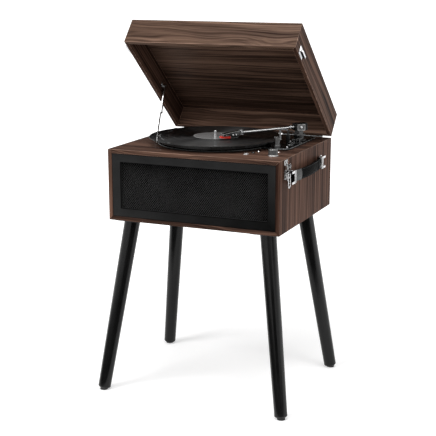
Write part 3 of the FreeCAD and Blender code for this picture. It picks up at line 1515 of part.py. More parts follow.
def latch_lever():
    """Right-hand lever hanging from its pin, with the barrel for the wire bail."""
    x = LATCH_PIN_X
    y = LATCH_Y
    z = LATCH_PIN_Z
    barrel_half = LATCH_PLATE_WIDTH / 2 - LATCH_EAR_THICK - AIR
    barrel = rod(LATCH_BARREL_R, V(x, y - barrel_half, z), V(x, y + barrel_half, z))
    top = LATCH_LEVER_TOP_WIDTH / 2
    end = LATCH_LEVER_END_WIDTH / 2
    low = z - LATCH_LEVER_LENGTH
    inside = x - LATCH_LEVER_THICK / 2
    outline = [V(inside, y - top, z), V(inside, y + top, z), V(inside, y + end, low), V(inside, y - end, low)]
    blade = prism(outline, RIGHT * LATCH_LEVER_THICK)
    bail_half = BAIL_BARREL_HALF_LENGTH
    bail_barrel = rod(BAIL_BARREL_R, V(BAIL_X, y - bail_half, BAIL_Z), V(BAIL_X, y + bail_half, BAIL_Z))
    rib = box(x, BAIL_X, y - bail_half, y + bail_half, BAIL_Z - BAIL_BARREL_R, BAIL_Z + BAIL_BARREL_R)
    holes = [
        rod(LATCH_PIN_R + RUNNING, V(x, y - barrel_half, z), V(x, y + barrel_half, z)),
        rod(BAIL_WIRE_R + RUNNING, V(BAIL_X, y - bail_half, BAIL_Z), V(BAIL_X, y + bail_half, BAIL_Z)),
    ]
    return fused([barrel, blade, bail_barrel, rib]).cut(holes)


def latch_bail():
    """Right-hand wire loop hanging from its lever."""
    half = BAIL_HALF_WIDTH
    corner = BAIL_CORNER_R
    low = -BAIL_LENGTH + half
    bend = corner * math.sqrt(0.5)
    dip = half * math.sqrt(0.5)
    turn = half - corner
    edges = [
        Part.LineSegment(V(0, 0, 0), V(0, turn, 0)).toShape(),
        Part.Arc(V(0, turn, 0), V(0, turn + bend, bend - corner), V(0, half, -corner)).toShape(),
        Part.LineSegment(V(0, half, -corner), V(0, half, low)).toShape(),
        Part.Arc(V(0, half, low), V(0, dip, low - dip), V(0, 0, low - half)).toShape(),
    ]
    section = Part.Wire(Part.makeCircle(BAIL_WIRE_R, V(0, 0, 0), BACK))
    back_half = Part.Wire(edges).makePipeShell([section], True, False)
    front_half = back_half.mirror(V(0, 0, 0), BACK)
    return fused([back_half, front_half]).translated(V(BAIL_X, LATCH_Y, BAIL_Z))


def lid_catches():
    """Hooked plate low on each side of the lid, above its latch."""
    half = CATCH_WIDTH / 2
    y = LATCH_Y
    bottom = LID_BOTTOM + CATCH_BOTTOM
    face = HALF_W + LATCH_PLATE_THICK
    plate = box(HALF_W, face, y - half, y + half, bottom, bottom + CATCH_HEIGHT)
    hook_z = LID_BOTTOM + CATCH_HOOK_RISE
    end = HALF_W + CATCH_HOOK_REACH
    shelf = box(HALF_W, end, y - half, y + half, hook_z - CATCH_HOOK_THICK, hook_z)
    lip = box(end - CATCH_HOOK_THICK, end, y - half, y + half, hook_z - CATCH_HOOK_THICK, hook_z + CATCH_LIP)
    return opened(both_sides(fused([plate, shelf, lip])).cut(shut_lid_screws()))


# Handle


def handle_loop_middles():
    """Distance back of the middle of each end loop."""
    return [HANDLE_Y - HANDLE_SPACING / 2, HANDLE_Y + HANDLE_SPACING / 2]


def strap_arc(bow_extra):
    """Three points of the strap's curve, seen from above, moved out by a given amount."""
    half = HANDLE_SPACING / 2 + STRAP_END_PAST_LOOP
    x = HALF_W + STRAP_END_STANDOFF + bow_extra
    z = HANDLE_RISE - STRAP_WIDTH / 2
    return V(x, HANDLE_Y - half, z), V(x + STRAP_BOW, HANDLE_Y, z), V(x, HANDLE_Y + half, z)


def handle_strap():
    """Padded strap bowed out between its two end loops."""
    inside = strap_arc(0)
    outside = strap_arc(STRAP_THICK)
    edges = [
        Part.Arc(inside[0], inside[1], inside[2]).toShape(),
        Part.LineSegment(inside[2], outside[2]).toShape(),
        Part.Arc(outside[2], outside[1], outside[0]).toShape(),
        Part.LineSegment(outside[0], inside[0]).toShape(),
    ]
    return Part.Face(Part.Wire(edges)).extrude(UP * STRAP_WIDTH)


def handle_brackets():
    """Screwed plate and loop that hold each end of the strap."""
    half_z = STRAP_WIDTH / 2 + LOOP_SLOT_GAP + LOOP_WALL
    slot_z = STRAP_WIDTH / 2 + LOOP_SLOT_GAP
    face = HALF_W + HANDLE_PLATE_THICK
    outside = HALF_W + LOOP_DEPTH
    brackets = []
    for y in handle_loop_middles():
        side = math.copysign(1, y - HANDLE_Y)
        start = y - side * LOOP_LENGTH / 2
        end = start + side * HANDLE_PLATE_LENGTH
        z0 = HANDLE_RISE - half_z
        z1 = HANDLE_RISE + half_z
        plate = box(HALF_W, face, min(start, end), max(start, end), z0, z1)
        loop = box(HALF_W, outside, y - LOOP_LENGTH / 2, y + LOOP_LENGTH / 2, z0, z1)
        low = HANDLE_RISE - slot_z
        slot = box(face, outside - LOOP_WALL, y - LOOP_LENGTH, y + LOOP_LENGTH, low, low + 2 * slot_z)
        brackets.append(fused([plate, loop.cut(slot)]).cut(case_screws()))
    return group(brackets)


# Every node and its maker

NODES = {
    "side_panels": side_panels,
    "deck_panel": deck_panel,
    "bottom_panel": bottom_panel,
    "rear_panel": rear_panel,
    "speaker_baffle": speaker_baffle,
    "grille_frame": grille_frame,
    "grille_mesh": grille_mesh,
    "speakers": speakers,
    "amplifier_board": amplifier_board,
    "rear_sockets": rear_sockets,
    "legs": legs,
    "leg_plates": leg_plates,
    "leg_glides": leg_glides,
    "turntable_plate": turntable_plate,
    "bearing_bush": bearing_bush,
    "motor": motor,
    "drive_belt": drive_belt,
    "tonearm_pedestal": tonearm_pedestal,
    "arm_rest": arm_rest,
    "volume_control": volume_control,
    "audio_jacks": audio_jacks,
    "indicator_lamp": indicator_lamp,
    "latch_bases": latch_bases,
    "handle_brackets": handle_brackets,
    "handle_strap": handle_strap,
    "hinge_leaves_lower": hinge_leaves_lower,
    "stay_lower_bracket": stay_lower_bracket,
    "case_screws": case_screws,
    "lid_top_panel": lid_top_panel,
    "lid_front_panel": lid_front_panel,
    "lid_rear_panel": lid_rear_panel,
    "lid_side_panels": lid_side_panels,
    "hinge_leaves_upper": hinge_leaves_upper,
    "lid_catches": lid_catches,
    "stay_upper_bracket": stay_upper_bracket,
    "lid_screws": lid_screws,
    "stay_lower_link": stay_lower_link,
    "stay_upper_link": stay_upper_link,
    "platter": platter,
    "slip_mat": slip_mat,
    "record": record,
    "record_label": record_label,
    "spindle": spindle,
    "motor_pulley": motor_pulley,
    "tonearm_yoke": tonearm_yoke,
    "tonearm_block": tonearm_block,
    "tonearm_tube": tonearm_tube,
    "headshell": headshell,
    "stylus": stylus,
    "cue_lever": cue_lever,
    "cue_lift_bar": cue_lift_bar,
    "speed_lever": speed_lever,
    "autostop_lever": autostop_lever,
    "volume_knob": volume_knob,
    "source_switch_knob": source_switch_knob,
    "arm_clip": arm_clip,
    "latch_lever_right": latch_lever,
    "latch_lever_left": lambda: left_of(latch_lever()),
    "latch_bail_right": latch_bail,
    "latch_bail_left": lambda: left_of(latch_bail()),
}


def main():
    """Build every node, set it on the floor and write it out."""
    os.makedirs("parts", exist_ok=True)
    for name, make in NODES.items():
        make().translated(PLACE).exportStep(f"parts/{name}.step")


if __name__ == "__main__":
    main()
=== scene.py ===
import json
import math

import bmesh
import bpy
from mathutils import Matrix, Vector
from mathutils.bvhtree import BVHTree

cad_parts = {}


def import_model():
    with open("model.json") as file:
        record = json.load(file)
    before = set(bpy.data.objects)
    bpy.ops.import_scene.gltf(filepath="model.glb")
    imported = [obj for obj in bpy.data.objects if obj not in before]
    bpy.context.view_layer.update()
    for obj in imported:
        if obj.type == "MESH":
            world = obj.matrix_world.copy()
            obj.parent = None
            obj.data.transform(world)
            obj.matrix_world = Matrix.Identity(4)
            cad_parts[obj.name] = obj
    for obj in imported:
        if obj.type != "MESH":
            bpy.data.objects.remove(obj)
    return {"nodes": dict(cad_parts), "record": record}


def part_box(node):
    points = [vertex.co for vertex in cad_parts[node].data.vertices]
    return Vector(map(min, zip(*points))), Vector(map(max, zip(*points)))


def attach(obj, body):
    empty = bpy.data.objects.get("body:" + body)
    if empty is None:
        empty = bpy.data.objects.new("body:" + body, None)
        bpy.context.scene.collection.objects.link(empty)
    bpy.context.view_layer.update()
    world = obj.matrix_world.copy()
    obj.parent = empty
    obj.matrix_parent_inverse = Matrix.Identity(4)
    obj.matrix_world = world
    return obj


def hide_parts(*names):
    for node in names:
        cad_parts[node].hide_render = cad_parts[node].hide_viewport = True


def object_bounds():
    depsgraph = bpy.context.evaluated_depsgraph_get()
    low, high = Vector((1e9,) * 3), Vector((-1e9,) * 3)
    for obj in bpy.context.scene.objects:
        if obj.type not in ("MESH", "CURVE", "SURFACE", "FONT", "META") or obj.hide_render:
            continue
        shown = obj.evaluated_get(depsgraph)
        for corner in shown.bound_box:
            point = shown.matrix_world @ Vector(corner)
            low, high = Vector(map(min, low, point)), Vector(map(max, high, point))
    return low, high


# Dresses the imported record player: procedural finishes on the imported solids, detailed pieces where the
# solids are plain, a pale floor, soft lamps and the photograph's camera. Lengths are in metres.

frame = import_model()
cad_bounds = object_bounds()

MM = 0.001

# Camera, worked out from the photograph
CAMERA_FROM_CABINET = Vector((0.9684, -2.2425, 0.5579))
CAMERA_AZIMUTH = 23.62
CAMERA_ELEVATION = 13.20
CAMERA_ROLL = -0.08
CAMERA_FOCAL_PIXELS = 1086.0
CAMERA_REACH = 200.0
PHOTO_PIXELS = 436.0
SENSOR = 36.0

# Places that the solids follow
LID_OPEN_DEG = 41.0
ARM_PIVOT_FROM_CABINET = Vector((154.5, 79.0, 196.0)) * MM
ARM_SWING_DEG = 45.0
ARM_DIP_DEG = 2.0

# The cabinet's own origin: the middle of its underside
cabinet_low, cabinet_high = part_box("side_panels")
CABINET = Vector((0.0, (cabinet_low.y + cabinet_high.y) / 2, cabinet_low.z))
deck_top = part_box("deck_panel")[1].z
record_low, record_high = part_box("record")
record_middle = (record_low + record_high) / 2

# The tonearm's place: upright about its pivot, and dipped along its tube
ARM_UPRIGHT = (Matrix.Translation(CABINET + ARM_PIVOT_FROM_CABINET)
               @ Matrix.Rotation(math.radians(-ARM_SWING_DEG), 4, "Z"))
ARM = ARM_UPRIGHT @ Matrix.Rotation(math.radians(ARM_DIP_DEG), 4, "X")

# Body of each imported solid
BODY_OF = {node: body for body, nodes in frame["record"]["behaviour"]["bodies"].items() for node in nodes}


# Materials


class Nodes:
    """Node tree with short ways to add and join its nodes."""

    def __init__(self, tree):
        self.tree = tree

    def add(self, kind, inputs, **settings):
        node = self.tree.nodes.new("ShaderNode" + kind)
        for key, value in settings.items():
            setattr(node, key, value)
        for socket, value in inputs.items():
            self.feed(node.inputs[socket], value)
        return node

    def feed(self, socket, value):
        if isinstance(value, bpy.types.NodeSocket):
            self.tree.links.new(value, socket)
        else:
            socket.default_value = value

    def plus(self, a, b, clamp=False):
        return self.add("Math", {0: a, 1: b}, operation="ADD", use_clamp=clamp).outputs[0]

    def times(self, a, b):
        return self.add("Math", {0: a, 1: b}, operation="MULTIPLY").outputs[0]

    def spread(self, value, low, high, start=0.0, end=1.0):
        inputs = {"Value": value, "From Min": start, "From Max": end, "To Min": low, "To Max": high}
        return self.add("MapRange", inputs).outputs[0]

    def seen(self):
        """1 for what the camera, gloss and glass show, and 0 for light that falls on the part."""
        path = self.add("LightPath", {}).outputs
        direct = self.plus(path["Is Camera Ray"], path["Is Glossy Ray"])
        return self.plus(direct, path["Is Transmission Ray"], clamp=True)


class Finish(Nodes):
    """One procedural material."""

    def __init__(self, name):
        self.material = bpy.data.materials.new(name)
        self.material.use_nodes = True
        super().__init__(self.material.node_tree)
        self.shader = self.tree.nodes["Principled BSDF"]

    def set(self, **values):
        for key, value in values.items():
            self.feed(self.shader.inputs[key.replace("_", " ")], value)

    def place(self):
        return self.add("TexCoord", {}).outputs["Object"]

    def moved(self, vector, scale=(1, 1, 1), turn=(0, 0, 0), shift=(0, 0, 0)):
        turn = [math.radians(angle) for angle in turn]
        node = self.add("Mapping", {"Vector": vector, "Scale": scale, "Rotation": turn, "Location": shift})
        return node.outputs[0]

    def noise(self, vector, scale, detail=3.0, rough=0.5):
        inputs = {"Vector": vector, "Scale": scale, "Detail": detail, "Roughness": rough}
        return self.add("TexNoise", inputs).outputs[0]

    def length(self, vector):
        return self.add("VectorMath", {0: vector}, operation="LENGTH").outputs["Value"]

    def radius(self, middle):
        """Distance from an upright axis through a place."""
        parts = self.add("SeparateXYZ", {0: self.moved(self.place(), shift=(-middle.x, -middle.y, 0))})
        flat = self.add("CombineXYZ", {0: parts.outputs[0], 1: parts.outputs[1], 2: 0.0})
        return self.length(flat.outputs[0])

    def ramp(self, factor, stops):
        node = self.add("ValToRGB", {"Fac": factor})
        points = node.color_ramp.elements
        while len(points) < len(stops):
            points.new(0.5)
        for point, (place, colour) in zip(points, stops):
            point.position = place
            point.color = (*colour, 1.0)
        return node.outputs[0]

    def mixed(self, factor, a, b, blend="MIX"):
        node = self.add("Mix", {0: factor, 6: a, 7: b}, data_type="RGBA", blend_type=blend)
        return node.outputs[2]

    def bump(self, height, strength, distance):
        inputs = {"Height": height, "Strength": strength, "Distance": distance}
        return self.add("Bump", inputs).outputs[0]


def grey(value):
    return (value, value, value)


def shaded(colour, share):
    return tuple(min(1.0, channel * share) for channel in colour)


WALNUT_DARK = (0.020, 0.0105, 0.0075)
WALNUT_MID = (0.078, 0.0450, 0.0315)
WALNUT_LIGHT = (0.160, 0.0960, 0.0680)
# Grain noise at the middle colour, and how far from it the darkest and the lightest lie
WALNUT_MIDDLE = 0.497
WALNUT_BELOW = 0.077
WALNUT_ABOVE = 0.083
# Shares of the bands, the fibre and the clouding in the grain
BAND_SHARE = 0.60
FIBRE_SHARE = 0.18
CLOUD_SHARE = 0.22
# Noise scales along and across the grain
WAVER_SCALE = (2.6, 8, 8)
FIBRE_SCALE = (9, 620, 620)
PORE_SCALE = (34, 1500, 1500)
CLOUD_SCALE = (2.5, 22, 22)
GRAIN_WAVER = 0.085
GRAIN_LEAN_DEG = 38
GRAIN_TURNS = {"x": (0, 0, 0), "y": (0, 0, -90), "z": (0, 90, 0)}


def walnut(name, grain, tilt=0.0, figure=1.0, rings=200.0, tone=1.0, shift=0.0, gloss=0.05, warmth=1.0,
           contrast=1.0):
    """Dark walnut veneer with its grain along one axis of a board that may be tilted."""
    f = Finish(name)
    level = f.moved(f.place(), turn=(tilt, 0, 0))
    along = f.moved(level, turn=GRAIN_TURNS[grain], shift=(shift, shift * 1.7, shift * 0.6))
    leaning = f.moved(along, turn=(GRAIN_LEAN_DEG, 0, 0))
    waver = f.noise(f.moved(leaning, scale=WAVER_SCALE), 1.0, 2.0)
    parts = f.add("SeparateXYZ", {0: leaning})
    across = f.plus(parts.outputs[1], f.times(f.spread(waver, -0.5, 0.5), GRAIN_WAVER * figure))
    joined = f.add("CombineXYZ", {0: parts.outputs[0], 1: across, 2: parts.outputs[2]}).outputs[0]
    bands = f.noise(f.moved(joined, scale=(1.4, rings, rings * 0.2)), 1.0, 4.0, 0.60)
    veins = f.noise(f.moved(joined, scale=(2.4, rings * 1.8, rings * 0.4)), 1.0, 2.0)
    fibre = f.noise(f.moved(along, scale=FIBRE_SCALE), 1.0, 3.0, 0.6)
    pores = f.noise(f.moved(along, scale=PORE_SCALE), 1.0, 2.0)
    cloud = f.noise(f.moved(along, scale=CLOUD_SCALE), 1.0, 2.0)
    blend = f.plus(f.times(bands, BAND_SHARE), f.times(fibre, FIBRE_SHARE))
    blend = f.plus(blend, f.times(cloud, CLOUD_SHARE))
    tint = (tone * warmth, tone, tone)
    dark, middle, light = [tuple(a * b for a, b in zip(tint, colour))
                           for colour in (WALNUT_DARK, WALNUT_MID, WALNUT_LIGHT)]
    colour = f.ramp(blend, [(WALNUT_MIDDLE - WALNUT_BELOW / contrast, dark), (WALNUT_MIDDLE, middle),
                            (WALNUT_MIDDLE + WALNUT_ABOVE / contrast, light)])
    lines = f.ramp(veins, [(0.33, grey(0.38)), (0.43, grey(1.0))])
    dashes = f.ramp(pores, [(0.26, grey(0.45)), (0.36, grey(1.0))])
    streaked = f.mixed(0.85, colour, lines, "MULTIPLY")
    f.set(Base_Color=f.mixed(0.8, streaked, dashes, "MULTIPLY"))
    f.set(Roughness=f.spread(fibre, 0.34, 0.52), Specular_IOR_Level=gloss)
    f.set(Normal=f.bump(f.plus(fibre, f.times(pores, 0.6)), 0.10, 0.4 * MM))
    return f.material


def moulded(name, colour, rough=0.42, mottle=0.25, speck=900.0, bump=0.08, gloss=0.5):
    """Moulded, painted or pressed surface with a fine texture and slight change of tone."""
    f = Finish(name)
    place = f.place()
    fine = f.noise(place, speck, 2.0)
    broad = f.noise(place, 22.0, 3.0)
    tone = f.plus(f.times(fine, 0.5), f.times(broad, 0.5))
    f.set(Base_Color=f.ramp(tone, [(0.34, shaded(colour, 1 - mottle)), (0.66, shaded(colour, 1 + mottle))]))
    f.set(Roughness=f.spread(broad, rough - 0.07, rough + 0.09), Specular_IOR_Level=gloss)
    f.set(Normal=f.bump(fine, bump, 0.3 * MM))
    return f.material


def metal(name, colour, rough, smear=0.10, brushed=(1, 1, 1)):
    """Bright metal with faint smears and fine scratches."""
    f = Finish(name)
    place = f.place()
    smears = f.noise(place, 60.0, 4.0)
    lines = f.noise(f.moved(place, scale=brushed), 1400.0, 2.0)
    f.set(Base_Color=f.ramp(smears, [(0.35, shaded(colour, 0.86)), (0.62, colour)]), Metallic=1.0)
    f.set(Roughness=f.spread(smears, rough, rough + smear))
    f.set(Normal=f.bump(lines, 0.03, 0.1 * MM))
    return f.material


def hide(name, colour, rough, gloss):
    """Grained leather: small pebbles with creases between them, the creases painted darker as shade."""
    f = Finish(name)
    place = f.place()
    pebbles = {"Vector": place, "Scale": 900.0, "Randomness": 1.0}
    cells = f.add("TexVoronoi", pebbles, feature="DISTANCE_TO_EDGE")
    crease_and_painted_shade = f.ramp(cells.outputs[0], [(0.0, grey(0.0)), (0.12, grey(1.0))])
    broad = f.noise(place, 60.0, 3.0)
    # The creases get the darker colour: painted shade in them
    low = shaded(colour, 0.55)
    f.set(Base_Color=f.mixed(crease_and_painted_shade, (*low, 1), f.ramp(broad, [(0.3, low), (0.7, colour)])))
    f.set(Roughness=f.spread(broad, rough - 0.08, rough + 0.10), Specular_IOR_Level=gloss)
    f.set(Normal=f.bump(crease_and_painted_shade, 0.30, 0.3 * MM))
    return f.material


def vinyl(name, middle):
    """Pressed record: fine rings that smear light across them, with smooth gaps between the tracks."""
    f = Finish(name)
    steps = f.add("CombineXYZ", {0: f.radius(middle), 1: 0.0, 2: 0.0}).outputs[0]
    grooves = f.noise(steps, 2600.0, 1.0)
    tracks = f.noise(steps, 70.0, 0.0)
    gaps = f.ramp(tracks, [(0.46, grey(0.0)), (0.50, grey(1.0))])
    smudge = f.noise(f.place(), 14.0, 3.0)
    f.set(Base_Color=f.ramp(grooves, [(0.3, grey(0.0010)), (0.7, grey(0.0035))]))
    f.set(Roughness=f.plus(f.spread(gaps, 0.58, 0.68), f.spread(smudge, 0.0, 0.06)), Specular_IOR_Level=0.36)
    f.set(Anisotropic=0.95, Tangent=f.add("Tangent", {}, direction_type="RADIAL", axis="Z").outputs[0])
    f.set(Anisotropic_Rotation=0.25)
    f.set(Coat_Weight=0.30, Coat_Roughness=0.03, Coat_IOR=1.18)
    f.set(Normal=f.bump(grooves, 0.035, 0.1 * MM))
    return f.material


LABEL_R = 50.0 * MM
# Plain label from its middle to its edge: share of its radius, and grey
LABEL_ZONES = ((0.0, 0.28), (0.30, 0.32), (0.31, 0.22), (0.33, 0.32), (0.92, 0.30), (0.94, 0.42))


def paper(name, middle):
    """Plain grey record label with a faint border ring and paper fibre."""
    f = Finish(name)
    reach = f.times(f.radius(middle), 1 / LABEL_R)
    zones = f.ramp(reach, [(share, grey(tone)) for share, tone in LABEL_ZONES])
    fibre = f.noise(f.place(), 700.0, 4.0)
    f.set(Base_Color=f.mixed(0.35, zones, f.ramp(fibre, [(0.3, grey(0.5)), (0.7, grey(1.0))]), "MULTIPLY"))
    f.set(Roughness=f.spread(fibre, 0.12, 0.26), Normal=f.bump(fibre, 0.03, 0.2 * MM))
    return f.material


def glowing(name, colour):
    """Small lit lens."""
    f = Finish(name)
    haze = f.noise(f.place(), 500.0, 2.0)
    f.set(Base_Color=f.ramp(haze, [(0.3, colour), (0.7, (1.0, 0.9, 0.85))]), Emission_Strength=0.4)
    f.set(Emission_Color=f.ramp(haze, [(0.3, colour), (0.7, (1.0, 0.85, 0.8))]), Roughness=0.2)
    return f.material


deck_wood = walnut("walnut_deck", "x", figure=0.6, rings=210.0, tone=0.88, shift=0.13, warmth=1.08)
side_wood = walnut("walnut_sides", "z", figure=0.22, rings=230.0, tone=0.95, shift=0.71, gloss=0.012,
                   warmth=1.12)
lid_front_wood = walnut("walnut_lid_front", "x", tilt=LID_OPEN_DEG, figure=1.1, rings=230.0, tone=1.12,
                        shift=0.37, gloss=0.03, warmth=0.97, contrast=0.75)
lid_top_wood = walnut("walnut_lid_top", "x", tilt=LID_OPEN_DEG, figure=0.24, rings=540.0, tone=1.18,
                      shift=0.91)
# The lid's rear wall is about twice as light as the other boards: painted light on that wall
lid_rear_wood_painted_light = walnut("walnut_lid_rear_painted_light", "x", tilt=LID_OPEN_DEG, figure=0.6, rings=240.0, tone=2.0,
                       shift=0.27, contrast=0.7)
lid_side_wood = walnut("walnut_lid_sides", "y", tilt=LID_OPEN_DEG, figure=0.25, rings=260.0, tone=0.80,
                       shift=0.53, gloss=0.012, warmth=1.08)
# Much lighter wood for the rounded board edges: a painted highlight along them
edge_wood_painted_highlight = walnut("walnut_edges_painted_highlight", "x", figure=0.3, rings=200.0, tone=2.2, shift=0.11, gloss=0.20)

# Plain surfaces: colour, roughness, mottling, fineness and depth of the texture, and gloss
black_plastic = moulded("black_plastic", grey(0.006), 0.26, 0.3, 1200.0, 0.05, 0.30)
satin_black = moulded("satin_black", grey(0.0165), 0.50, 0.25, 700.0, 0.10, 0.12)
leg_black = moulded("leg_black", grey(0.0045), 0.20, 0.35, 500.0, 0.03, 0.24)
gloss_black = moulded("gloss_black", grey(0.005), 0.12, 0.3, 900.0, 0.02, 0.45)
shell_black = moulded("shell_black", grey(0.010), 0.16, 0.3, 900.0, 0.02, 0.8)
# Light grey for the headshell's rounded edges: a painted highlight outlining it
shell_painted_highlight = moulded("shell_painted_highlight", grey(0.28), 0.22, 0.2, 900.0, 0.02)
plate_black = moulded("plate_black", grey(0.0022), 0.24, 0.3, 1200.0, 0.04, 0.02)
# Grey, glossy rounded edges of the turntable plate: a painted highlight along its rim
plate_painted_highlight = moulded("plate_painted_highlight", grey(0.030), 0.22, 0.2, 1200.0, 0.04, 0.6)
board_black = moulded("board_black", grey(0.012), 0.62, 0.35, 1600.0, 0.25)
mesh_black = moulded("mesh_black", grey(0.038), 0.38, 0.3, 2500.0, 0.10, 0.40)
cloth_black = moulded("cloth_black", grey(0.0006), 0.90, 0.5, 3200.0, 0.60, 0.0)
# Near-black for the frame's rounded edges, the catch eyes and the latch windows: painted shade in gaps and
# openings
painted_shade_black = moulded("painted_shade_black", grey(0.0012), 0.60, 0.3, 700.0, 0.10, 0.02)
flag_black = moulded("flag_black", grey(0.010), 0.9, 0.2, 300.0, 0.05, 0.02)
rubber = moulded("rubber", grey(0.010), 0.62, 0.35, 1300.0, 0.25)
grey_plastic = moulded("grey_plastic", grey(0.075), 0.24, 0.2, 1100.0, 0.06)
ear_grey = moulded("ear_grey", grey(0.085), 0.28, 0.2, 1100.0, 0.05)
knob_grey = moulded("knob_grey", grey(0.026), 0.18, 0.2, 900.0, 0.03, 0.7)
thread = moulded("thread", grey(0.020), 0.60, 0.4, 3000.0, 0.40)
felt = moulded("felt", grey(0.012), 0.90, 0.6, 2600.0, 0.8)
stylus_red = moulded("stylus_red", (0.78, 0.036, 0.022), 0.24, 0.15, 900.0, 0.05)
circuit_green = moulded("circuit_green", (0.010, 0.055, 0.022), 0.40, 0.4, 900.0, 0.2)
pale_plastic = moulded("pale_plastic", grey(0.62), 0.30, 0.1, 900.0, 0.05)
socket_red = moulded("socket_red", (0.36, 0.012, 0.014), 0.34, 0.2, 900.0, 0.08)
socket_white = moulded("socket_white", grey(0.60), 0.34, 0.1, 900.0, 0.08)

silver = metal("silver", grey(0.62), 0.24)
rim_metal = metal("knob_rim", grey(0.34), 0.22)
chrome = metal("chrome", (0.74, 0.74, 0.75), 0.09)
# Chrome darkened to near black for the latch levers' faces: a painted shade copy of chrome
chrome_painted_shade = metal("chrome_painted_shade", grey(0.030), 0.12)
# Chrome dimmed for the latch plates, strap brackets and deck rings: a painted shade copy of chrome
chrome_dimmed_painted_shade = metal("chrome_dimmed_painted_shade", grey(0.54), 0.12)
steel = metal("steel", grey(0.50), 0.26, brushed=(1, 1, 12))
dark_steel = metal("dark_steel", grey(0.16), 0.34)
brass = metal("brass", (0.70, 0.47, 0.18), 0.22)

leather = hide("leather", grey(0.0040), 0.40, 0.004)
# Lighter, glossier leather, used on the front fold only
leather_lighter = hide("leather_lighter", grey(0.040), 0.36, 0.3)
record_black = vinyl("record_black", record_middle)
label_paper = paper("label_paper", record_middle)
lamp_lens = glowing("lamp_lens", (0.95, 0.70, 0.66))

NODE_FINISHES = {
    deck_wood: ("deck_panel", "bottom_panel"),
    side_wood: ("side_panels",),
    lid_front_wood: ("lid_front_panel",),
    lid_top_wood: ("lid_top_panel",),
    lid_rear_wood_painted_light: ("lid_rear_panel",),
    lid_side_wood: ("lid_side_panels",),
    board_black: ("rear_panel", "speaker_baffle"),
    satin_black: ("grille_frame", "speakers", "cue_lever"),
    plate_black: ("turntable_plate",),
    black_plastic: ("rear_sockets", "tonearm_pedestal", "tonearm_block", "platter", "audio_jacks"),
    shell_black: ("headshell",),
    gloss_black: ("speed_lever", "autostop_lever", "volume_knob"),
    leg_black: ("legs",),
    rubber: ("leg_glides", "drive_belt", "cue_lift_bar"),
    mesh_black: ("grille_mesh",),
    grey_plastic: ("arm_rest", "arm_clip"),
    ear_grey: ("tonearm_yoke",),
    chrome_painted_shade: ("latch_lever_right", "latch_lever_left"),
    chrome_dimmed_painted_shade: ("latch_bases", "handle_brackets"),
    chrome: ("latch_bail_right", "latch_bail_left", "lid_catches", "case_screws", "lid_screws", "spindle"),
    silver: ("tonearm_tube", "stay_upper_link", "stay_lower_link"),
    pale_plastic: ("source_switch_knob",),
    steel: ("motor", "volume_control", "stay_lower_bracket", "stay_upper_bracket"),
    dark_steel: ("leg_plates", "hinge_leaves_lower", "hinge_leaves_upper"),
    brass: ("bearing_bush", "motor_pulley"),
    leather: ("handle_strap",),
    felt: ("slip_mat",),
    record_black: ("record",),
    label_paper: ("record_label",),
    stylus_red: ("stylus",),
    lamp_lens: ("indicator_lamp",),
    circuit_green: ("amplifier_board",),
}


def finish_nodes():
    """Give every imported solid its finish."""
    for material, names in NODE_FINISHES.items():
        for name in names:
            slots = frame["nodes"][name].data.materials
            if not slots:
                slots.append(material)
            for index in range(len(slots)):
                slots[index] = material


# Shape helpers

# Rounding of small trim, and how far it sinks into what carries it
FINE_BEVEL = 0.1 * MM
TRIM_BEVEL = 0.15 * MM
SMALL_SINK = 0.1 * MM
TRIM_SINK = 0.2 * MM
# How far outside a solid a line starts that finds its surface
RAY_REACH = 50.0 * MM


def link(name, data):
    """New object in the scene."""
    made = bpy.data.objects.new(name, data)
    bpy.context.scene.collection.objects.link(made)
    return made


def piece_from(name, bm, body, material, smooth_deg=40.0):
    """Turn a finished bmesh into a piece that rides on a body."""
    bmesh.ops.recalc_face_normals(bm, faces=bm.faces)
    mesh = bpy.data.meshes.new(name)
    bm.to_mesh(mesh)
    bm.free()
    mesh.materials.append(material)
    mesh.shade_smooth()
    mesh.set_sharp_from_angle(angle=math.radians(smooth_deg))
    piece = link(name, mesh)
    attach(piece, body)
    return piece


def lathe(bm, profile, centre, segments=96, ripple=None):
    """Turn a closed profile of radius and height points about an upright axis."""
    rings = []
    for step in range(segments):
        angle = 2 * math.pi * step / segments
        scale = ripple(angle) if ripple else None
        ring = []
        for radius, height in profile:
            reach = radius * scale(radius, height) if scale else radius
            x = centre[0] + reach * math.cos(angle)
            y = centre[1] + reach * math.sin(angle)
            ring.append(bm.verts.new((x, y, centre[2] + height)))
        rings.append(ring)
    count = len(profile)
    for step in range(segments):
        here = rings[step]
        there = rings[(step + 1) % segments]
        for i in range(count):
            j = (i + 1) % count
            bm.faces.new((here[i], there[i], there[j], here[j]))


def skin(bm, rings):
    """Join rings of points one after the other, and close the first and the last."""
    for near, far in zip(rings, rings[1:]):
        for i in range(len(near)):
            j = (i + 1) % len(near)
            bm.faces.new((near[i], near[j], far[j], far[i]))
    bm.faces.new(list(reversed(rings[0])))
    bm.faces.new(rings[-1])


def disc_stack(bm, profile, matrix, segments=32):
    """Turn an open profile of radius and height points about local Z, with flat ends."""
    rings = []
    for radius, height in profile:
        ring = []
        for step in range(segments):
            angle = 2 * math.pi * step / segments
            place = Vector((radius * math.cos(angle), radius * math.sin(angle), height))
            ring.append(bm.verts.new(matrix @ place))
        rings.append(ring)
    skin(bm, rings)


def block(bm, low, high, matrix=None, bevel=0.0):
    """Block between two corners with its edges rounded."""
    made = bmesh.ops.create_cube(bm, size=1.0)["verts"]
    low = Vector(low)
    high = Vector(high)
    for vert in made:
        place = Vector([low[i] + (vert.co[i] + 0.5) * (high[i] - low[i]) for i in range(3)])
        vert.co = matrix @ place if matrix else place
    if bevel:
        edges = {edge for vert in made for edge in vert.link_edges}
        bmesh.ops.bevel(bm, geom=list(edges), offset=bevel, segments=2, profile=0.5, affect="EDGES")


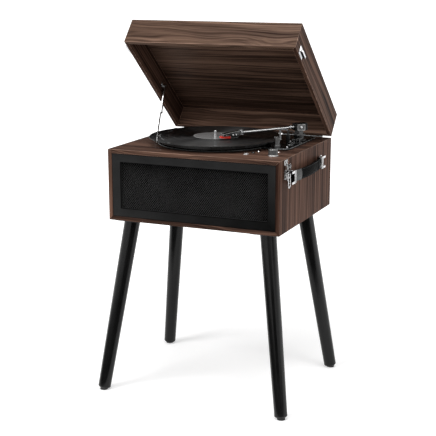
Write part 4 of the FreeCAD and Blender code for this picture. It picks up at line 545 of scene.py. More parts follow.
def facing(axis, place):
    """Matrix at a place whose local Z looks along an axis."""
    turn = Vector(axis).normalized().to_track_quat("Z", "Y").to_matrix().to_4x4()
    return Matrix.Translation(place) @ turn


def sized(shares, radius, rise):
    """Profile from shares of a radius and of a height."""
    return [(share * radius, level * rise) for share, level in shares]


# Screw head and domed cap: shares of the radius and of the height
SCREW_SHAPE = ((1.0, 0.0), (0.98, 0.35), (0.82, 0.75), (0.5, 0.97), (0.2, 1.0))
SCREW_CROSS_REACH = 0.62
SCREW_CROSS_FROM = 0.80
SCREW_CROSS_TO = 1.02
DOME_SHAPE = ((1.0, 0.0), (1.0, 0.5), (0.75, 0.88), (0.3, 1.0))


def screw_head(bm, matrix, radius, height, cross_width):
    """Domed screw head with a cross, its seat at the matrix's origin and its top along local Z."""
    disc_stack(bm, sized(SCREW_SHAPE, radius, height), matrix, segments=24)
    reach = radius * SCREW_CROSS_REACH
    for turn in (0.0, 90.0):
        bar = matrix @ Matrix.Rotation(math.radians(turn), 4, "Z")
        block(bm, (-reach, -cross_width / 2, height * SCREW_CROSS_FROM),
              (reach, cross_width / 2, height * SCREW_CROSS_TO), bar)


def dome(bm, place, radius, rise):
    """Low domed cap standing on a place."""
    disc_stack(bm, sized(DOME_SHAPE, radius, rise), Matrix.Translation(place))


def washer(bm, place, bore, radius, rise):
    """Rounded washer standing on a place."""
    edge = min(rise, radius - bore) * 0.3
    profile = [(bore, 0.0), (radius, 0.0), (radius, rise - edge), (radius - edge, rise), (bore + edge, rise),
               (bore, rise - edge)]
    lathe(bm, profile, place, segments=40)


def surface(name, start, direction):
    """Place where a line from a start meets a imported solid."""
    solid = frame["nodes"][name]
    corners = [solid.matrix_world @ vert.co for vert in solid.data.vertices]
    tree = BVHTree.FromPolygons(corners, [tuple(face.vertices) for face in solid.data.polygons])
    return tree.ray_cast(Vector(start), Vector(direction).normalized())[0]


# Rounded edges

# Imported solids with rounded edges: width of the rounding, and the shortest edge that it takes, in mm
SOFT_EDGES = {
    (0.7, 6.0): ("side_panels", "deck_panel", "bottom_panel", "lid_front_panel", "lid_top_panel",
                 "lid_rear_panel", "lid_side_panels"),
    (1.1, 6.0): ("grille_frame",),
    (0.6, 2.0): ("arm_rest", "headshell", "tonearm_block", "rear_sockets"),
    (0.9, 3.0): ("latch_lever_right", "latch_lever_left"),
    (0.3, 2.0): ("handle_brackets", "stay_lower_link", "stay_upper_link", "lid_catches", "tonearm_yoke",
                 "arm_clip", "source_switch_knob", "cue_lever", "latch_bases"),
    (0.8, 1.5): ("speed_lever", "autostop_lever"),
    (1.4, 0.2): ("turntable_plate",),
}
# Finish of the rounded edges, where it isn't the piece's own: the lighter edge wood and the grey edges of the
# headshell and the plate are painted highlights, the frame's near-black edges are painted shade, and the
# latch levers keep bright chrome edges round their darkened faces
EDGE_FINISH = {"deck_panel": edge_wood_painted_highlight, "lid_front_panel": edge_wood_painted_highlight, "lid_top_panel": edge_wood_painted_highlight,
               "lid_rear_panel": edge_wood_painted_highlight, "lid_side_panels": edge_wood_painted_highlight, "side_panels": edge_wood_painted_highlight,
               "grille_frame": painted_shade_black, "headshell": shell_painted_highlight, "turntable_plate": plate_painted_highlight,
               "latch_lever_right": chrome, "latch_lever_left": chrome}
# Only the outer top edges of the side boards keep the lighter edge wood, a painted highlight
HIGHLIT_EDGE_REACH = 2.0 * MM
# Edges with a larger turn are rounded, and faces with a smaller turn between them are joined
ROUND_OVER_DEG = 40.0
FLAT_UNDER_DEG = 0.3
WELD_REACH = 0.002 * MM


def soften(name, width_mm, shortest_mm):
    """Stand-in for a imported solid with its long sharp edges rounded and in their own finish."""
    solid = frame["nodes"][name]
    bm = bmesh.new()
    bm.from_mesh(solid.data)
    bmesh.ops.remove_doubles(bm, verts=bm.verts, dist=WELD_REACH)
    bmesh.ops.dissolve_limit(bm, angle_limit=math.radians(FLAT_UNDER_DEG), verts=bm.verts, edges=bm.edges)
    sharp = [edge for edge in bm.edges if edge.is_manifold and edge.calc_length() > shortest_mm * MM
             and edge.calc_face_angle() > math.radians(ROUND_OVER_DEG)]
    for face in bm.faces:
        face.material_index = 0
    bmesh.ops.bevel(bm, geom=sharp, offset=width_mm * MM, segments=2, profile=0.5, affect="EDGES",
                    material=1 if name in EDGE_FINISH else 0)
    if name == "side_panels":
        for face in bm.faces:
            place = face.calc_center_median()
            outer = abs(place.x) > cabinet_high.x - HIGHLIT_EDGE_REACH and place.z > cabinet_high.z - HIGHLIT_EDGE_REACH
            if not outer:
                face.material_index = 0
    piece = piece_from(name + "_rounded", bm, BODY_OF[name], solid.data.materials[0])
    if name in EDGE_FINISH:
        piece.data.materials.append(EDGE_FINISH[name])
    shading = piece.modifiers.new("even_shading", "WEIGHTED_NORMAL")
    shading.keep_sharp = True
    shading.weight = 100
    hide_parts(name)


# Grille: pressed diamond lattice over dark cloth

LATTICE_PITCH_X = 4.75 * MM
LATTICE_PITCH_Z = 6.35 * MM
LATTICE_STRAND = 0.19
LATTICE_RELIEF = 0.55 * MM
LATTICE_MARGIN = 1.5 * MM
CLOTH_THICK = 0.35 * MM
DIAMOND = ((1, 0), (0, 1), (-1, 0), (0, -1))


def grille():
    """Sheet of diamond openings with raised strands, walls in the cloth's near-black as painted shade, and
    the cloth behind it.
    """
    low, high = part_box("grille_mesh")
    middle = (low + high) / 2
    front = low.y
    back = high.y - CLOTH_THICK
    half_x = LATTICE_PITCH_X / 2
    half_z = LATTICE_PITCH_Z / 2
    inner = 1 - LATTICE_STRAND
    columns = int(((high.x - low.x) / 2 - LATTICE_MARGIN) / half_x) - 1
    rows = int(((high.z - low.z) / 2 - LATTICE_MARGIN) / half_z) - 1
    bm = bmesh.new()
    corners = {}

    def corner(x, y, z):
        key = (round(x, 6), round(y, 6), round(z, 6))
        if key not in corners:
            corners[key] = bm.verts.new((x, y, z))
        return corners[key]

    def outline(x, y, z):
        return [corner(x + dx * half_x, y, z + dz * half_z) for dx, dz in DIAMOND]

    def opening(x, y, z):
        return [bm.verts.new((x + dx * half_x * inner, y, z + dz * half_z * inner)) for dx, dz in DIAMOND]

    for row in range(-rows, rows + 1):
        for column in range(-columns, columns + 1):
            if (row + column) % 2:
                continue
            x = middle.x + column * half_x
            z = middle.z + row * half_z
            crest = outline(x, front, z)
            rim = opening(x, front + LATTICE_RELIEF, z)
            foot = opening(x, back, z)
            under = outline(x, back, z)
            for i in range(4):
                j = (i + 1) % 4
                bm.faces.new((crest[i], crest[j], rim[j], rim[i]))
                wall = bm.faces.new((rim[i], rim[j], foot[j], foot[i]))
                # The openings' walls take the cloth's near-black: painted shade in the openings
                wall.material_index = 1
                bm.faces.new((foot[i], foot[j], under[j], under[i]))
    open_edges = [edge for edge in bm.edges if len(edge.link_faces) == 1]
    bmesh.ops.bridge_loops(bm, edges=open_edges)
    lattice = piece_from("grille_lattice", bm, "cabinet", mesh_black, smooth_deg=25)
    lattice.data.materials.append(cloth_black)
    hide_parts("grille_mesh")

    bm = bmesh.new()
    block(bm, (low.x, back, low.z), high, bevel=FINE_BEVEL)
    cloth = piece_from("grille_cloth", bm, "cabinet", cloth_black, smooth_deg=35)
    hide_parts("grille_mesh")


# Record: beaded rim, lower groove area, track gaps and a raised label seat

RECORD_BORE = 3.75 * MM
RECORD_BEAD = 3.2 * MM
BEAD_SLOPE = 1.2 * MM
GROOVE_DROP = 0.22 * MM
GAP_DROP = 0.10 * MM
GAP_HALF = 0.5 * MM
GAP_RADII = (129.0 * MM, 112.0 * MM, 95.5 * MM, 80.0 * MM)
LABEL_SEAT_R = 51.0 * MM
LABEL_SEAT_SLOPE = 1.0 * MM
RUN_OUT_R = 62.0 * MM
# Rounding of the rim: inset from it, and depth under the face
RIM_ROUND = ((0.8 * MM, 0.05 * MM), (0.2 * MM, 0.4 * MM))
UNDER_INSET = 2.0 * MM


def record():
    """Pressed disc turned from its profile."""
    top = record_high.z - record_low.z
    rim = record_high.x - record_middle.x
    groove = top - GROOVE_DROP
    upper = [(RECORD_BORE, top), (LABEL_SEAT_R, top), (LABEL_SEAT_R + LABEL_SEAT_SLOPE, groove),
             (RUN_OUT_R, groove)]
    for r in reversed(GAP_RADII):
        upper += [(r - 2 * GAP_HALF, groove), (r - GAP_HALF, groove - GAP_DROP),
                  (r + GAP_HALF, groove - GAP_DROP), (r + 2 * GAP_HALF, groove)]
    upper += [(rim - RECORD_BEAD, groove), (rim - RECORD_BEAD + BEAD_SLOPE, top)]
    upper += [(rim - inset, top - depth) for inset, depth in RIM_ROUND]
    lower = [(rim, top / 2)] + [(rim - inset, depth) for inset, depth in reversed(RIM_ROUND)]
    lower += [(rim - UNDER_INSET, 0.0), (RECORD_BORE, 0.0)]
    bm = bmesh.new()
    lathe(bm, upper + lower, (record_middle.x, record_middle.y, record_low.z), segments=256)
    disc = piece_from("record_disc", bm, "platter", record_black, smooth_deg=30)
    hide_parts("record")


# Carrying strap: padded leather between stitched edges, with its ends folded back

STRAP_THICK = 4.6 * MM
STRAP_FULLNESS = 0.84
STRAP_END_INSET = 0.25 * MM
STRAP_FOLD = 30.0 * MM
STRAP_FOLD_FROM = 10.6 * MM
STRAP_FOLD_LIFT = 0.7 * MM
STRAP_FOLD_STEPS = 12
STRAP_INSIDE = -0.2 * MM
STRAP_STEPS = 60
# Section: share of the half width, and share of the thickness, from inside to outside
STRAP_SECTION = (
    (-1.0, 0.30), (-0.97, 0.10), (-0.90, 0.0), (-0.45, 0.0), (0.0, 0.0), (0.45, 0.0), (0.90, 0.0),
    (0.97, 0.10), (1.0, 0.30), (0.98, 0.58), (0.92, 0.68), (0.84, 0.62), (0.78, 0.66), (0.62, 0.84),
    (0.35, 0.96), (0.0, 1.0), (-0.35, 0.96), (-0.62, 0.84), (-0.78, 0.66), (-0.84, 0.62), (-0.92, 0.68),
    (-0.98, 0.58))
STRAP_SEAM_SHARE = 0.4
STITCH_SEAT = 0.535
STITCH_PITCH = 4.6 * MM
STITCH_LENGTH = 3.0 * MM
STITCH_R = 0.32 * MM
STITCH_INSET = 2.4 * MM
# Shares of the stitch's radius and of half its length
STITCH_SHAPE = ((0.4, -1.0), (1.0, -0.7), (1.0, 0.7), (0.4, 1.0))


class StrapCurve:
    """The strap's bowed line, seen from above, from its front end to its rear end."""

    def __init__(self):
        self.low, self.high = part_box("handle_strap")
        half = (self.high.y - self.low.y) / 2
        bow = self.high.x - self.low.x - STRAP_THICK
        self.middle = (self.low + self.high) / 2
        self.half_high = (self.high.z - self.low.z) / 2
        self.radius = (half ** 2 + bow ** 2) / (2 * bow)
        self.centre_x = self.low.x + bow - self.radius

    def offset(self, y):
        return self.centre_x + math.sqrt(self.radius ** 2 - (y - self.middle.y) ** 2)

    def outward(self, y):
        lean = (y - self.middle.y) / self.radius
        return Vector((math.sqrt(1 - lean ** 2), lean, 0))


def strap_band(name, curve, y0, y1, lift, material, steps):
    """Crowned length of strap with a groove inside each edge, between two places along it."""
    bm = bmesh.new()
    rings = []
    for step in range(steps + 1):
        y = y0 + (y1 - y0) * step / steps
        out = curve.outward(y)
        base = Vector((curve.offset(y), y, curve.middle.z))
        ring = []
        for across, through in STRAP_SECTION:
            raised = lift if through > STRAP_SEAM_SHARE else -lift / 2
            reach = through * STRAP_THICK * STRAP_FULLNESS + raised
            rise = Vector((0, 0, across * curve.half_high))
            ring.append(bm.verts.new(base + out * max(reach, STRAP_INSIDE) + rise))
        rings.append(ring)
    skin(bm, rings)
    return piece_from(name, bm, "cabinet", material, smooth_deg=50)


def strap():
    """Leather strap, its stitches, and the fold at each end that holds it in its loop."""
    curve = StrapCurve()
    start = curve.low.y + STRAP_END_INSET
    end = curve.high.y - STRAP_END_INSET
    body = strap_band("strap_leather", curve, start, end, 0.0, leather, STRAP_STEPS)
    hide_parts("handle_strap")
    near = curve.low.y + STRAP_FOLD_FROM
    first = near + STRAP_FOLD
    strap_band("strap_fold_front", curve, near, first, STRAP_FOLD_LIFT, leather_lighter, STRAP_FOLD_STEPS)
    far = curve.high.y - STRAP_FOLD_FROM
    last = far - STRAP_FOLD
    strap_band("strap_fold_rear", curve, last, far, STRAP_FOLD_LIFT, leather, STRAP_FOLD_STEPS)

    bm = bmesh.new()
    for side in (-1, 1):
        z = curve.middle.z + side * (curve.half_high - STITCH_INSET)
        for step in range(1, int((last - first) / STITCH_PITCH)):
            y = first + STITCH_PITCH * step
            out = curve.outward(y)
            place = Vector((curve.offset(y), y, z)) + out * (STITCH_SEAT * STRAP_THICK)
            along = Vector((-out.y, out.x, 0))
            disc_stack(bm, sized(STITCH_SHAPE, STITCH_R, STITCH_LENGTH / 2), facing(along, place), segments=8)
    piece_from("strap_stitches", bm, "cabinet", thread, smooth_deg=50)


# Volume knob: fluted cap with a bright rim, over a bright skirt

KNOB_FLUTES = 28
FLUTE_DEPTH = 0.03
FLUTE_STEPS = 8
# The flutes lie in the cap's outer part, between these distances from its foot and its top
FLUTE_SHARE = 0.93
FLUTE_FROM = 0.6 * MM
FLUTE_TO = 1.2 * MM
KNOB_GAP = 0.4 * MM
KNOB_CAP_R = 10.2 * MM
KNOB_BORE_R = 3.4 * MM
KNOB_SKIRT_R = KNOB_CAP_R * 1.09
KNOB_SKIRT_RISE = 3.0 * MM
SKIRT_BORE_R = 3.5 * MM
KNOB_CAP_RISE = KNOB_SKIRT_RISE * 0.9
# Cap: heights over its foot of its straight part, then share of its radius and drop from its top
CAP_FOOT = (0.0, 0.5 * MM, 0.7 * MM)
CAP_TOP = ((0.97, 1.6 * MM), (0.965, 1.0 * MM), (0.92, 0.35 * MM), (0.86, 0.0), (0.70, 0.05 * MM),
           (0.62, 0.5 * MM))
# Eye in the middle of the cap's top, depth of the dish there, and the top's thickness
CAP_EYE_R = 0.3 * MM
CAP_DISH = 0.6 * MM
CAP_THICK = 3.0 * MM
# Rim: share of the cap's radius, and drop from its top
CAP_RIM = ((0.84, 1.2 * MM), (0.985, 1.2 * MM), (0.985, 0.9 * MM), (0.94, 0.25 * MM), (0.88, 0.0),
           (0.84, 0.0))
# Skirt: radius, and height over its foot
KNOB_SKIRT = (
    (SKIRT_BORE_R, 0.0), (KNOB_SKIRT_R * 0.96, 0.0), (KNOB_SKIRT_R, 0.3 * MM), (KNOB_SKIRT_R, 1.1 * MM),
    (KNOB_SKIRT_R * 0.97, 1.5 * MM), (KNOB_CAP_R * 1.06, KNOB_SKIRT_RISE * 0.95),
    (KNOB_CAP_R * 1.02, KNOB_SKIRT_RISE), (SKIRT_BORE_R, KNOB_SKIRT_RISE * 0.85))
POINTER_HALF = 0.5 * MM
POINTER_DEEP = 0.5 * MM
POINTER_GAP = 0.02 * MM
POINTER_FROM = KNOB_CAP_R * 0.80
POINTER_TO = KNOB_CAP_R * 0.25


def knob():
    """Fluted cap with a dished top, its rim, its bright skirt and its pointer."""
    low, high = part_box("volume_knob")
    centre = (low + high) / 2
    base = (centre.x, centre.y, deck_top + KNOB_GAP)
    height = high.z - base[2]

    def flute(angle):
        groove = 0.5 + 0.5 * math.cos(KNOB_FLUTES * angle)

        def scale(radius, z):
            if radius < KNOB_CAP_R * FLUTE_SHARE or z > height - FLUTE_TO or z < KNOB_CAP_RISE + FLUTE_FROM:
                return 1.0
            return 1.0 - FLUTE_DEPTH * groove ** 3

        return scale

    def from_top(shares):
        return [(share * KNOB_CAP_R, height - drop) for share, drop in shares]

    bm = bmesh.new()
    cap = [(KNOB_BORE_R, KNOB_CAP_RISE)] + [(KNOB_CAP_R, KNOB_CAP_RISE + rise) for rise in CAP_FOOT]
    cap += from_top(CAP_TOP)
    cap += [(CAP_EYE_R, height - CAP_DISH), (CAP_EYE_R, height - CAP_THICK),
            (KNOB_BORE_R, height - CAP_THICK)]
    lathe(bm, cap, base, segments=KNOB_FLUTES * FLUTE_STEPS, ripple=flute)
    cap_piece = piece_from("knob_cap", bm, "volume_knob", knob_grey)
    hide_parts("volume_knob")

    bm = bmesh.new()
    lathe(bm, KNOB_SKIRT, base)
    skirt = piece_from("knob_skirt", bm, "volume_knob", silver)
    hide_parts("volume_knob")

    bm = bmesh.new()
    lathe(bm, from_top(CAP_RIM), base)
    piece_from("knob_top_rim", bm, "volume_knob", rim_metal)

    bm = bmesh.new()
    block(bm, (centre.x - POINTER_HALF, centre.y - POINTER_FROM, high.z - POINTER_DEEP),
          (centre.x + POINTER_HALF, centre.y - POINTER_TO, high.z - POINTER_GAP), bevel=FINE_BEVEL)
    piece_from("knob_pointer", bm, "volume_knob", silver, smooth_deg=35)


# Deck trim: middles, and the switch's slot and bezel, are in millimetres from the cabinet's middle

JACK_MIDDLES = ((113.0, -97.0), (119.0, -80.0))
JACK_RING_R = 4.2 * MM
JACK_RING_BORE = 2.6 * MM
JACK_RING_RISE = 1.6 * MM
LAMP_MIDDLE = (161.0, -68.0)
LAMP_RING_R = 3.4 * MM
LAMP_RING_BORE = 2.35 * MM
LAMP_RING_RISE = JACK_RING_RISE / 2
PLATE_PIN_MIDDLE = (165.0, -27.0)
PLATE_PIN_R = 1.9 * MM
PLATE_PIN_RISE = 3.0 * MM
LEVER_CAP_R = 2.1 * MM
LEVER_CAP_RISE = 0.9 * MM
SWITCH_SLOT_LOW = (102.7, -122.4)
SWITCH_SLOT_HIGH = (107.3, -111.6)
SWITCH_BEZEL = 1.4
SWITCH_BEZEL_RISE = 0.7 * MM
SWITCH_BEZEL_SINK = SWITCH_BEZEL_RISE * 0.2


def deck_place(x_mm, y_mm, rise=0.0):
    """Point over the deck from cabinet millimetres and a height."""
    return Vector((CABINET.x + x_mm * MM, CABINET.y + y_mm * MM, deck_top + rise))


def deck_trim():
    """Nuts of the two jacks, bezels of the lamp and the switch, the pin on the plate and the levers' caps."""
    dark_jack, bright_jack = JACK_MIDDLES
    bm = bmesh.new()
    washer(bm, deck_place(*dark_jack), JACK_RING_BORE, JACK_RING_R, JACK_RING_RISE)
    piece_from("jack_nut_dark", bm, "cabinet", gloss_black)

    bm = bmesh.new()
    low_x, low_y = SWITCH_SLOT_LOW
    high_x, high_y = SWITCH_SLOT_HIGH
    bars = ((low_x - SWITCH_BEZEL, low_y - SWITCH_BEZEL, low_x, high_y + SWITCH_BEZEL),
            (high_x, low_y - SWITCH_BEZEL, high_x + SWITCH_BEZEL, high_y + SWITCH_BEZEL),
            (low_x, low_y - SWITCH_BEZEL, high_x, low_y),
            (low_x, high_y, high_x, high_y + SWITCH_BEZEL))
    for x0, y0, x1, y1 in bars:
        block(bm, deck_place(x0, y0, -SWITCH_BEZEL_SINK), deck_place(x1, y1, SWITCH_BEZEL_RISE),
              bevel=TRIM_BEVEL)
    piece_from("switch_bezel", bm, "cabinet", pale_plastic)

    bm = bmesh.new()
    seat = surface("turntable_plate", deck_place(*PLATE_PIN_MIDDLE, RAY_REACH), (0, 0, -1))
    dome(bm, seat, PLATE_PIN_R, PLATE_PIN_RISE)
    piece_from("plate_pin", bm, "cabinet", chrome)

    for name in ("speed_lever", "autostop_lever"):
        low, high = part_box(name)
        bm = bmesh.new()
        dome(bm, ((low.x + high.x) / 2, (low.y + high.y) / 2, high.z), LEVER_CAP_R, LEVER_CAP_RISE)
        piece_from(name + "_cap", bm, BODY_OF[name], chrome)

    bm = bmesh.new()
    washer(bm, deck_place(*bright_jack), JACK_RING_BORE, JACK_RING_R, JACK_RING_RISE)
    washer(bm, deck_place(*LAMP_MIDDLE), LAMP_RING_BORE, LAMP_RING_R, LAMP_RING_RISE)
    piece_from("deck_rings", bm, "cabinet", chrome_dimmed_painted_shade)


# Tonearm trim: places along the tube are from the pivot

COLLAR_R = 5.4 * MM
COLLAR_FROM = 138.4 * MM
COLLAR_TO = 144.2 * MM
COLLAR_RIBS = 30
RIB_HALF = 0.30 * MM
RIB_SINK = 0.3 * MM
RIB_RISE = 0.28 * MM
SLEEVE_FROM = 12.2 * MM
SLEEVE_TO = 26.0 * MM
SLEEVE_R = 4.5 * MM
SLEEVE_TIP = 1.0 * MM
SLEEVE_TIP_SHARE = 0.85
SLEEVE_RINGS = (15.0 * MM, 19.0 * MM, 23.0 * MM)
SLEEVE_RING_R = 5.0 * MM
SLEEVE_RING_WIDE = 1.5 * MM
SLEEVE_RING_EDGE = 0.3 * MM
EAR_LENGTH = 9.4 * MM
EAR_FROM = -7.4 * MM
EAR_TO = 6.4 * MM
EAR_RIM_WIDE = 1.5 * MM
EAR_RIM_RISE = 0.5 * MM
EAR_SCREW_R = 3.0 * MM
EAR_SCREW_RISE = 1.0 * MM
EAR_SCREW_CROSS = 0.8 * MM
SHELL_SCREWS = (156.5 * MM, 164.0 * MM)
SHELL_SCREW_DROP = 3.4 * MM
SHELL_SCREW_R = 1.9 * MM
SHELL_SCREW_RISE = 0.7 * MM
SHELL_SCREW_CROSS = 0.6 * MM


def tube_trim():
    """Ribbed collar behind the headshell, and the dark sleeve with bright rings at the tube's pivot end."""
    bm = bmesh.new()
    low = (-RIB_HALF, -COLLAR_TO, COLLAR_R - RIB_SINK)
    high = (RIB_HALF, -COLLAR_FROM, COLLAR_R + RIB_RISE)
    for step in range(COLLAR_RIBS):
        turn = Matrix.Rotation(2 * math.pi * step / COLLAR_RIBS, 4, "Y")
        block(bm, low, high, ARM @ turn, bevel=FINE_BEVEL)
    piece_from("collar_ribs", bm, "tonearm", steel, smooth_deg=35)

    along = ARM @ Matrix.Rotation(math.radians(90), 4, "X")
    bm = bmesh.new()
    disc_stack(bm, [(SLEEVE_R, SLEEVE_FROM), (SLEEVE_R, SLEEVE_TO - SLEEVE_TIP),
                    (SLEEVE_R * SLEEVE_TIP_SHARE, SLEEVE_TO)], along)
    piece_from("tube_sleeve", bm, "tonearm", gloss_black)

    bm = bmesh.new()
    edge = SLEEVE_RING_EDGE
    for near in SLEEVE_RINGS:
        far = near + SLEEVE_RING_WIDE
        profile = [(SLEEVE_RING_R - edge, near), (SLEEVE_RING_R, near + edge), (SLEEVE_RING_R, far - edge),
                   (SLEEVE_RING_R - edge, far)]
        disc_stack(bm, profile, along)
    piece_from("tube_rings", bm, "tonearm", chrome)


def ear_trim():
    """Raised rim and a screw on the outer face of each of the yoke's two plates."""
    yoke = frame["nodes"]["tonearm_yoke"]
    to_arm = ARM_UPRIGHT.inverted() @ yoke.matrix_world
    face = max((to_arm @ vert.co).x for vert in yoke.data.vertices)
    bars = ((-EAR_LENGTH, EAR_FROM, EAR_LENGTH, EAR_FROM + EAR_RIM_WIDE),
            (-EAR_LENGTH, EAR_TO - EAR_RIM_WIDE, EAR_LENGTH, EAR_TO),
            (-EAR_LENGTH, EAR_FROM, -EAR_LENGTH + EAR_RIM_WIDE, EAR_TO),
            (EAR_LENGTH - EAR_RIM_WIDE, EAR_FROM, EAR_LENGTH, EAR_TO))
    rims = bmesh.new()
    screws = bmesh.new()
    for side in (-1, 1):
        near, far = sorted((side * (face - TRIM_SINK), side * (face + EAR_RIM_RISE)))
        for y0, z0, y1, z1 in bars:
            block(rims, (near, y0, z0), (far, y1, z1), ARM_UPRIGHT, bevel=TRIM_BEVEL)
        seat = ARM_UPRIGHT @ facing((side, 0, 0), (side * (face - SMALL_SINK), 0, 0))
        screw_head(screws, seat, EAR_SCREW_R, EAR_SCREW_RISE, EAR_SCREW_CROSS)
    piece_from("ear_rims", rims, "yoke", rim_metal)
    piece_from("ear_screws", screws, "yoke", chrome)


def shell_screws():
    """Two screws on the side of the headshell."""
    bm = bmesh.new()
    sideways = (ARM.to_3x3() @ Vector((-1, 0, 0))).normalized()
    for reach in SHELL_SCREWS:
        seat = surface("headshell", ARM @ Vector((RAY_REACH, -reach, -SHELL_SCREW_DROP)), sideways)
        screw_head(bm, facing(-sideways, seat + sideways * SMALL_SINK), SHELL_SCREW_R, SHELL_SCREW_RISE,
                   SHELL_SCREW_CROSS)
    piece_from("shell_screws", bm, "tonearm", pale_plastic)


# Trim of the lid, the sides and the back

CATCH_EYE_R = 2.4 * MM
# Catch eye: share of its radius, and height over the plate
CATCH_EYE_SHAPE = ((1.0, -0.2 * MM), (1.0, 0.1 * MM), (0.8, 0.15 * MM))
WINDOW_STEP = 4.2 * MM
WINDOW_DROP = 4.4 * MM
WINDOW_HALF = Vector((0.15, 2.2, 2.6)) * MM
BRACKET_LENGTH = 26.0 * MM
BRIDGE_HIGH = 5.0 * MM
BRIDGE_DEEP = 2.2 * MM
BRIDGE_INSET = 0.5 * MM
BRIDGE_BEVEL = 0.4 * MM
PHONO_FINISH = {"phono_right": socket_red, "phono_left": socket_white}
PHONO_RING_R = 6.0 * MM
PHONO_RING_BORE = 4.6 * MM
PHONO_RING_RISE = 1.0 * MM
PHONO_SEAT_R = PHONO_RING_R * 0.9


def catch_eyes():
    """Near-black disc on the plate of each lid catch, painted shade where its eye is."""
    low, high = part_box("lid_catches")
    middle = (low + high) / 2
    profile = [(share * CATCH_EYE_R, rise) for share, rise in CATCH_EYE_SHAPE]
    bm = bmesh.new()
    for side in (-1, 1):
        start = (side * (high.x + RAY_REACH), middle.y, middle.z)
        seat = surface("lid_catches", start, (-side, 0, 0))
        disc_stack(bm, profile, facing((side, 0, 0), seat), segments=24)
    piece_from("catch_eyes", bm, "lid", painted_shade_black)


def side_trim():
    """Near-black blocks as windows in the latch plates, painted shade in their openings, and the bars that
    close the loops of the strap's brackets.
    """
    bm = bmesh.new()
    low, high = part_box("latch_bases")
    middle_y = (low.y + high.y) / 2
    for side in (-1, 1):
        for step in (-1, 1):
            start = (side * (high.x + RAY_REACH), middle_y + step * WINDOW_STEP, high.z - WINDOW_DROP)
            seat = surface("latch_bases", start, (-side, 0, 0))
            block(bm, seat - WINDOW_HALF, seat + WINDOW_HALF, bevel=FINE_BEVEL)
    piece_from("latch_windows", bm, "cabinet", painted_shade_black)

    bm = bmesh.new()
    low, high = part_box("handle_brackets")
    for front in (low.y, high.y - BRACKET_LENGTH):
        for bottom in (low.z, high.z - BRIDGE_HIGH):
            rear = front + BRACKET_LENGTH
            top = bottom + BRIDGE_HIGH
            block(bm, (high.x - BRIDGE_DEEP, front + BRIDGE_INSET, bottom + SMALL_SINK),
                  (high.x - SMALL_SINK, rear - BRIDGE_INSET, top - SMALL_SINK), bevel=BRIDGE_BEVEL)
    piece_from("bracket_bridges", bm, "cabinet", chrome)


def phono_rings():
    """Coloured ring about each of the two rear sockets."""
    for mount in frame["record"]["mounts"]:
        name = mount["name"]
        if name not in PHONO_FINISH:
            continue
        place = Vector(mount["pos_m"])
        seat = surface("rear_sockets", place + Vector((PHONO_SEAT_R, RAY_REACH, 0)), (0, -1, 0))
        place.y = seat.y - SMALL_SINK
        bm = bmesh.new()
        washer(bm, (0, 0, 0), PHONO_RING_BORE, PHONO_RING_R, PHONO_RING_RISE)
        bmesh.ops.transform(bm, matrix=facing((0, 1, 0), place), verts=bm.verts)
        piece_from(name + "_ring", bm, "cabinet", PHONO_FINISH[name])


# Stage

FLOOR_SIZE = 90.0
FLOOR_GREY = 0.80
# The floor's own white: strength near the part, and where it starts and ends rising to full white
FLOOR_GLOW = 0.40
FLOOR_NEAR = 0.7
FLOOR_FAR = 1.8
WORLD_FILL = 0.48
LAMP_AIM = Vector((0.0, -0.05, 0.50))
# Lamps: name, place, width, power, and whether it lights more than reflections
LAMPS = (
    ("key_lamp", (-1.5, -2.3, 2.7), 1.6, 62.0, True),
    ("top_lamp", (0.3, -0.6, 3.2), 1.8, 42.0, True),
    ("side_lamp", (2.8, -0.9, 1.5), 1.4, 18.0, True),
    ("record_lamp", (0.1, -0.52, 1.9), 0.6, 9.0, False),
)
# Thin flags in a stack: how many, the lowest one's height, and the step between them
FLAG_BARS = 4
FLAG_BAR_FROM = 0.205
FLAG_BAR_STEP = 0.033
# Black studio flags, seen only in reflections: name, middle, way that it faces, width and height
FLAGS = (
    ("flag_behind", (-0.75, 1.15, 1.08), (0.35, -1.0, 0.0), 1.5, 0.9),
    ("flag_right", (1.7, -0.5, 0.75), (-1.0, 0.0, 0.0), 0.8, 0.8),
    ("flag_front", (0.64, -1.21, 0.27), (-0.4, 0.916, 0.0), 0.9, 0.40),
    ("flag_floor", (0.2, -1.55, 0.003), (0.0, 0.0, 1.0), 4.4, 2.6),
    *((f"flag_bar_{i + 1}", (0.9, 1.2, FLAG_BAR_FROM + FLAG_BAR_STEP * i), (0.0, -1.0, 0.0), 1.0, 0.018)
      for i in range(FLAG_BARS)),
)


def ground():
    """Pale floor that keeps the shadow near the part and fades to white."""
    bpy.ops.mesh.primitive_plane_add(size=FLOOR_SIZE, location=(0, 0, cad_bounds[0].z))
    floor = bpy.context.object
    floor.name = "floor"
    f = Finish("floor_white")
    f.set(Base_Color=(*grey(FLOOR_GREY), 1), Roughness=0.9, Emission_Color=(*grey(1), 1))
    glow = f.spread(f.length(f.place()), FLOOR_GLOW, 1.0, FLOOR_NEAR, FLOOR_FAR)
    f.set(Emission_Strength=f.times(f.seen(), glow))
    floor.data.materials.append(f.material)


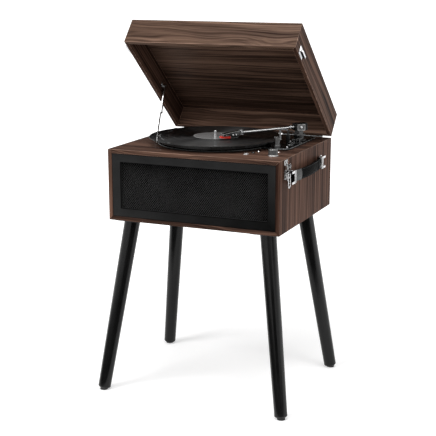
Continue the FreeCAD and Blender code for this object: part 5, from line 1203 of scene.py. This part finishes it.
def surroundings():
    """White world that lights the part less than it shows."""
    world = bpy.data.worlds.new("studio")
    bpy.context.scene.world = world
    world.use_nodes = True
    w = Nodes(world.node_tree)
    background = w.tree.nodes["Background"].inputs
    w.feed(background["Color"], (*grey(1), 1))
    w.feed(background["Strength"], w.spread(w.seen(), WORLD_FILL, 1.0))


def flags():
    """Black sheets that only reflections show."""
    for name, centre, toward, width, height in FLAGS:
        bm = bmesh.new()
        bmesh.ops.create_grid(bm, x_segments=1, y_segments=1, size=0.5)
        bmesh.ops.scale(bm, vec=(width, height, 1), verts=bm.verts)
        mesh = bpy.data.meshes.new(name)
        bm.to_mesh(mesh)
        bm.free()
        mesh.materials.append(flag_black)
        flag = link(name, mesh)
        flag.matrix_world = facing(toward, centre)
        for way in ("camera", "diffuse", "shadow", "transmission"):
            setattr(flag, "visible_" + way, False)


def lamps():
    """Soft round lamps aimed at the part."""
    for name, place, size, power, diffuse in LAMPS:
        lamp = bpy.data.lights.new(name, "AREA")
        lamp.shape = "DISK"
        lamp.size = size
        lamp.energy = power
        holder = link(name, lamp)
        holder.location = place
        holder.visible_diffuse = diffuse
        holder.rotation_euler = (LAMP_AIM - Vector(place)).to_track_quat("-Z", "Y").to_euler()


def camera():
    """The photograph's camera."""
    lens = bpy.data.cameras.new("photo_camera")
    lens.sensor_width = SENSOR
    lens.lens = SENSOR * CAMERA_FOCAL_PIXELS / PHOTO_PIXELS
    lens.clip_end = CAMERA_REACH
    holder = link("photo_camera", lens)
    turn = (Matrix.Rotation(math.radians(CAMERA_AZIMUTH), 4, "Z")
            @ Matrix.Rotation(math.radians(90 - CAMERA_ELEVATION), 4, "X")
            @ Matrix.Rotation(math.radians(CAMERA_ROLL), 4, "Z"))
    holder.matrix_world = Matrix.Translation(CABINET + CAMERA_FROM_CABINET) @ turn
    bpy.context.scene.camera = holder


camera()
finish_nodes()
for (width_mm, shortest_mm), node_names in SOFT_EDGES.items():
    for node_name in node_names:
        soften(node_name, width_mm, shortest_mm)
grille()
record()
strap()
knob()
deck_trim()
tube_trim()
ear_trim()
shell_screws()
catch_eyes()
side_trim()
phono_rings()
ground()
surroundings()
flags()
lamps()

bpy.context.scene.view_settings.view_transform = "Standard"
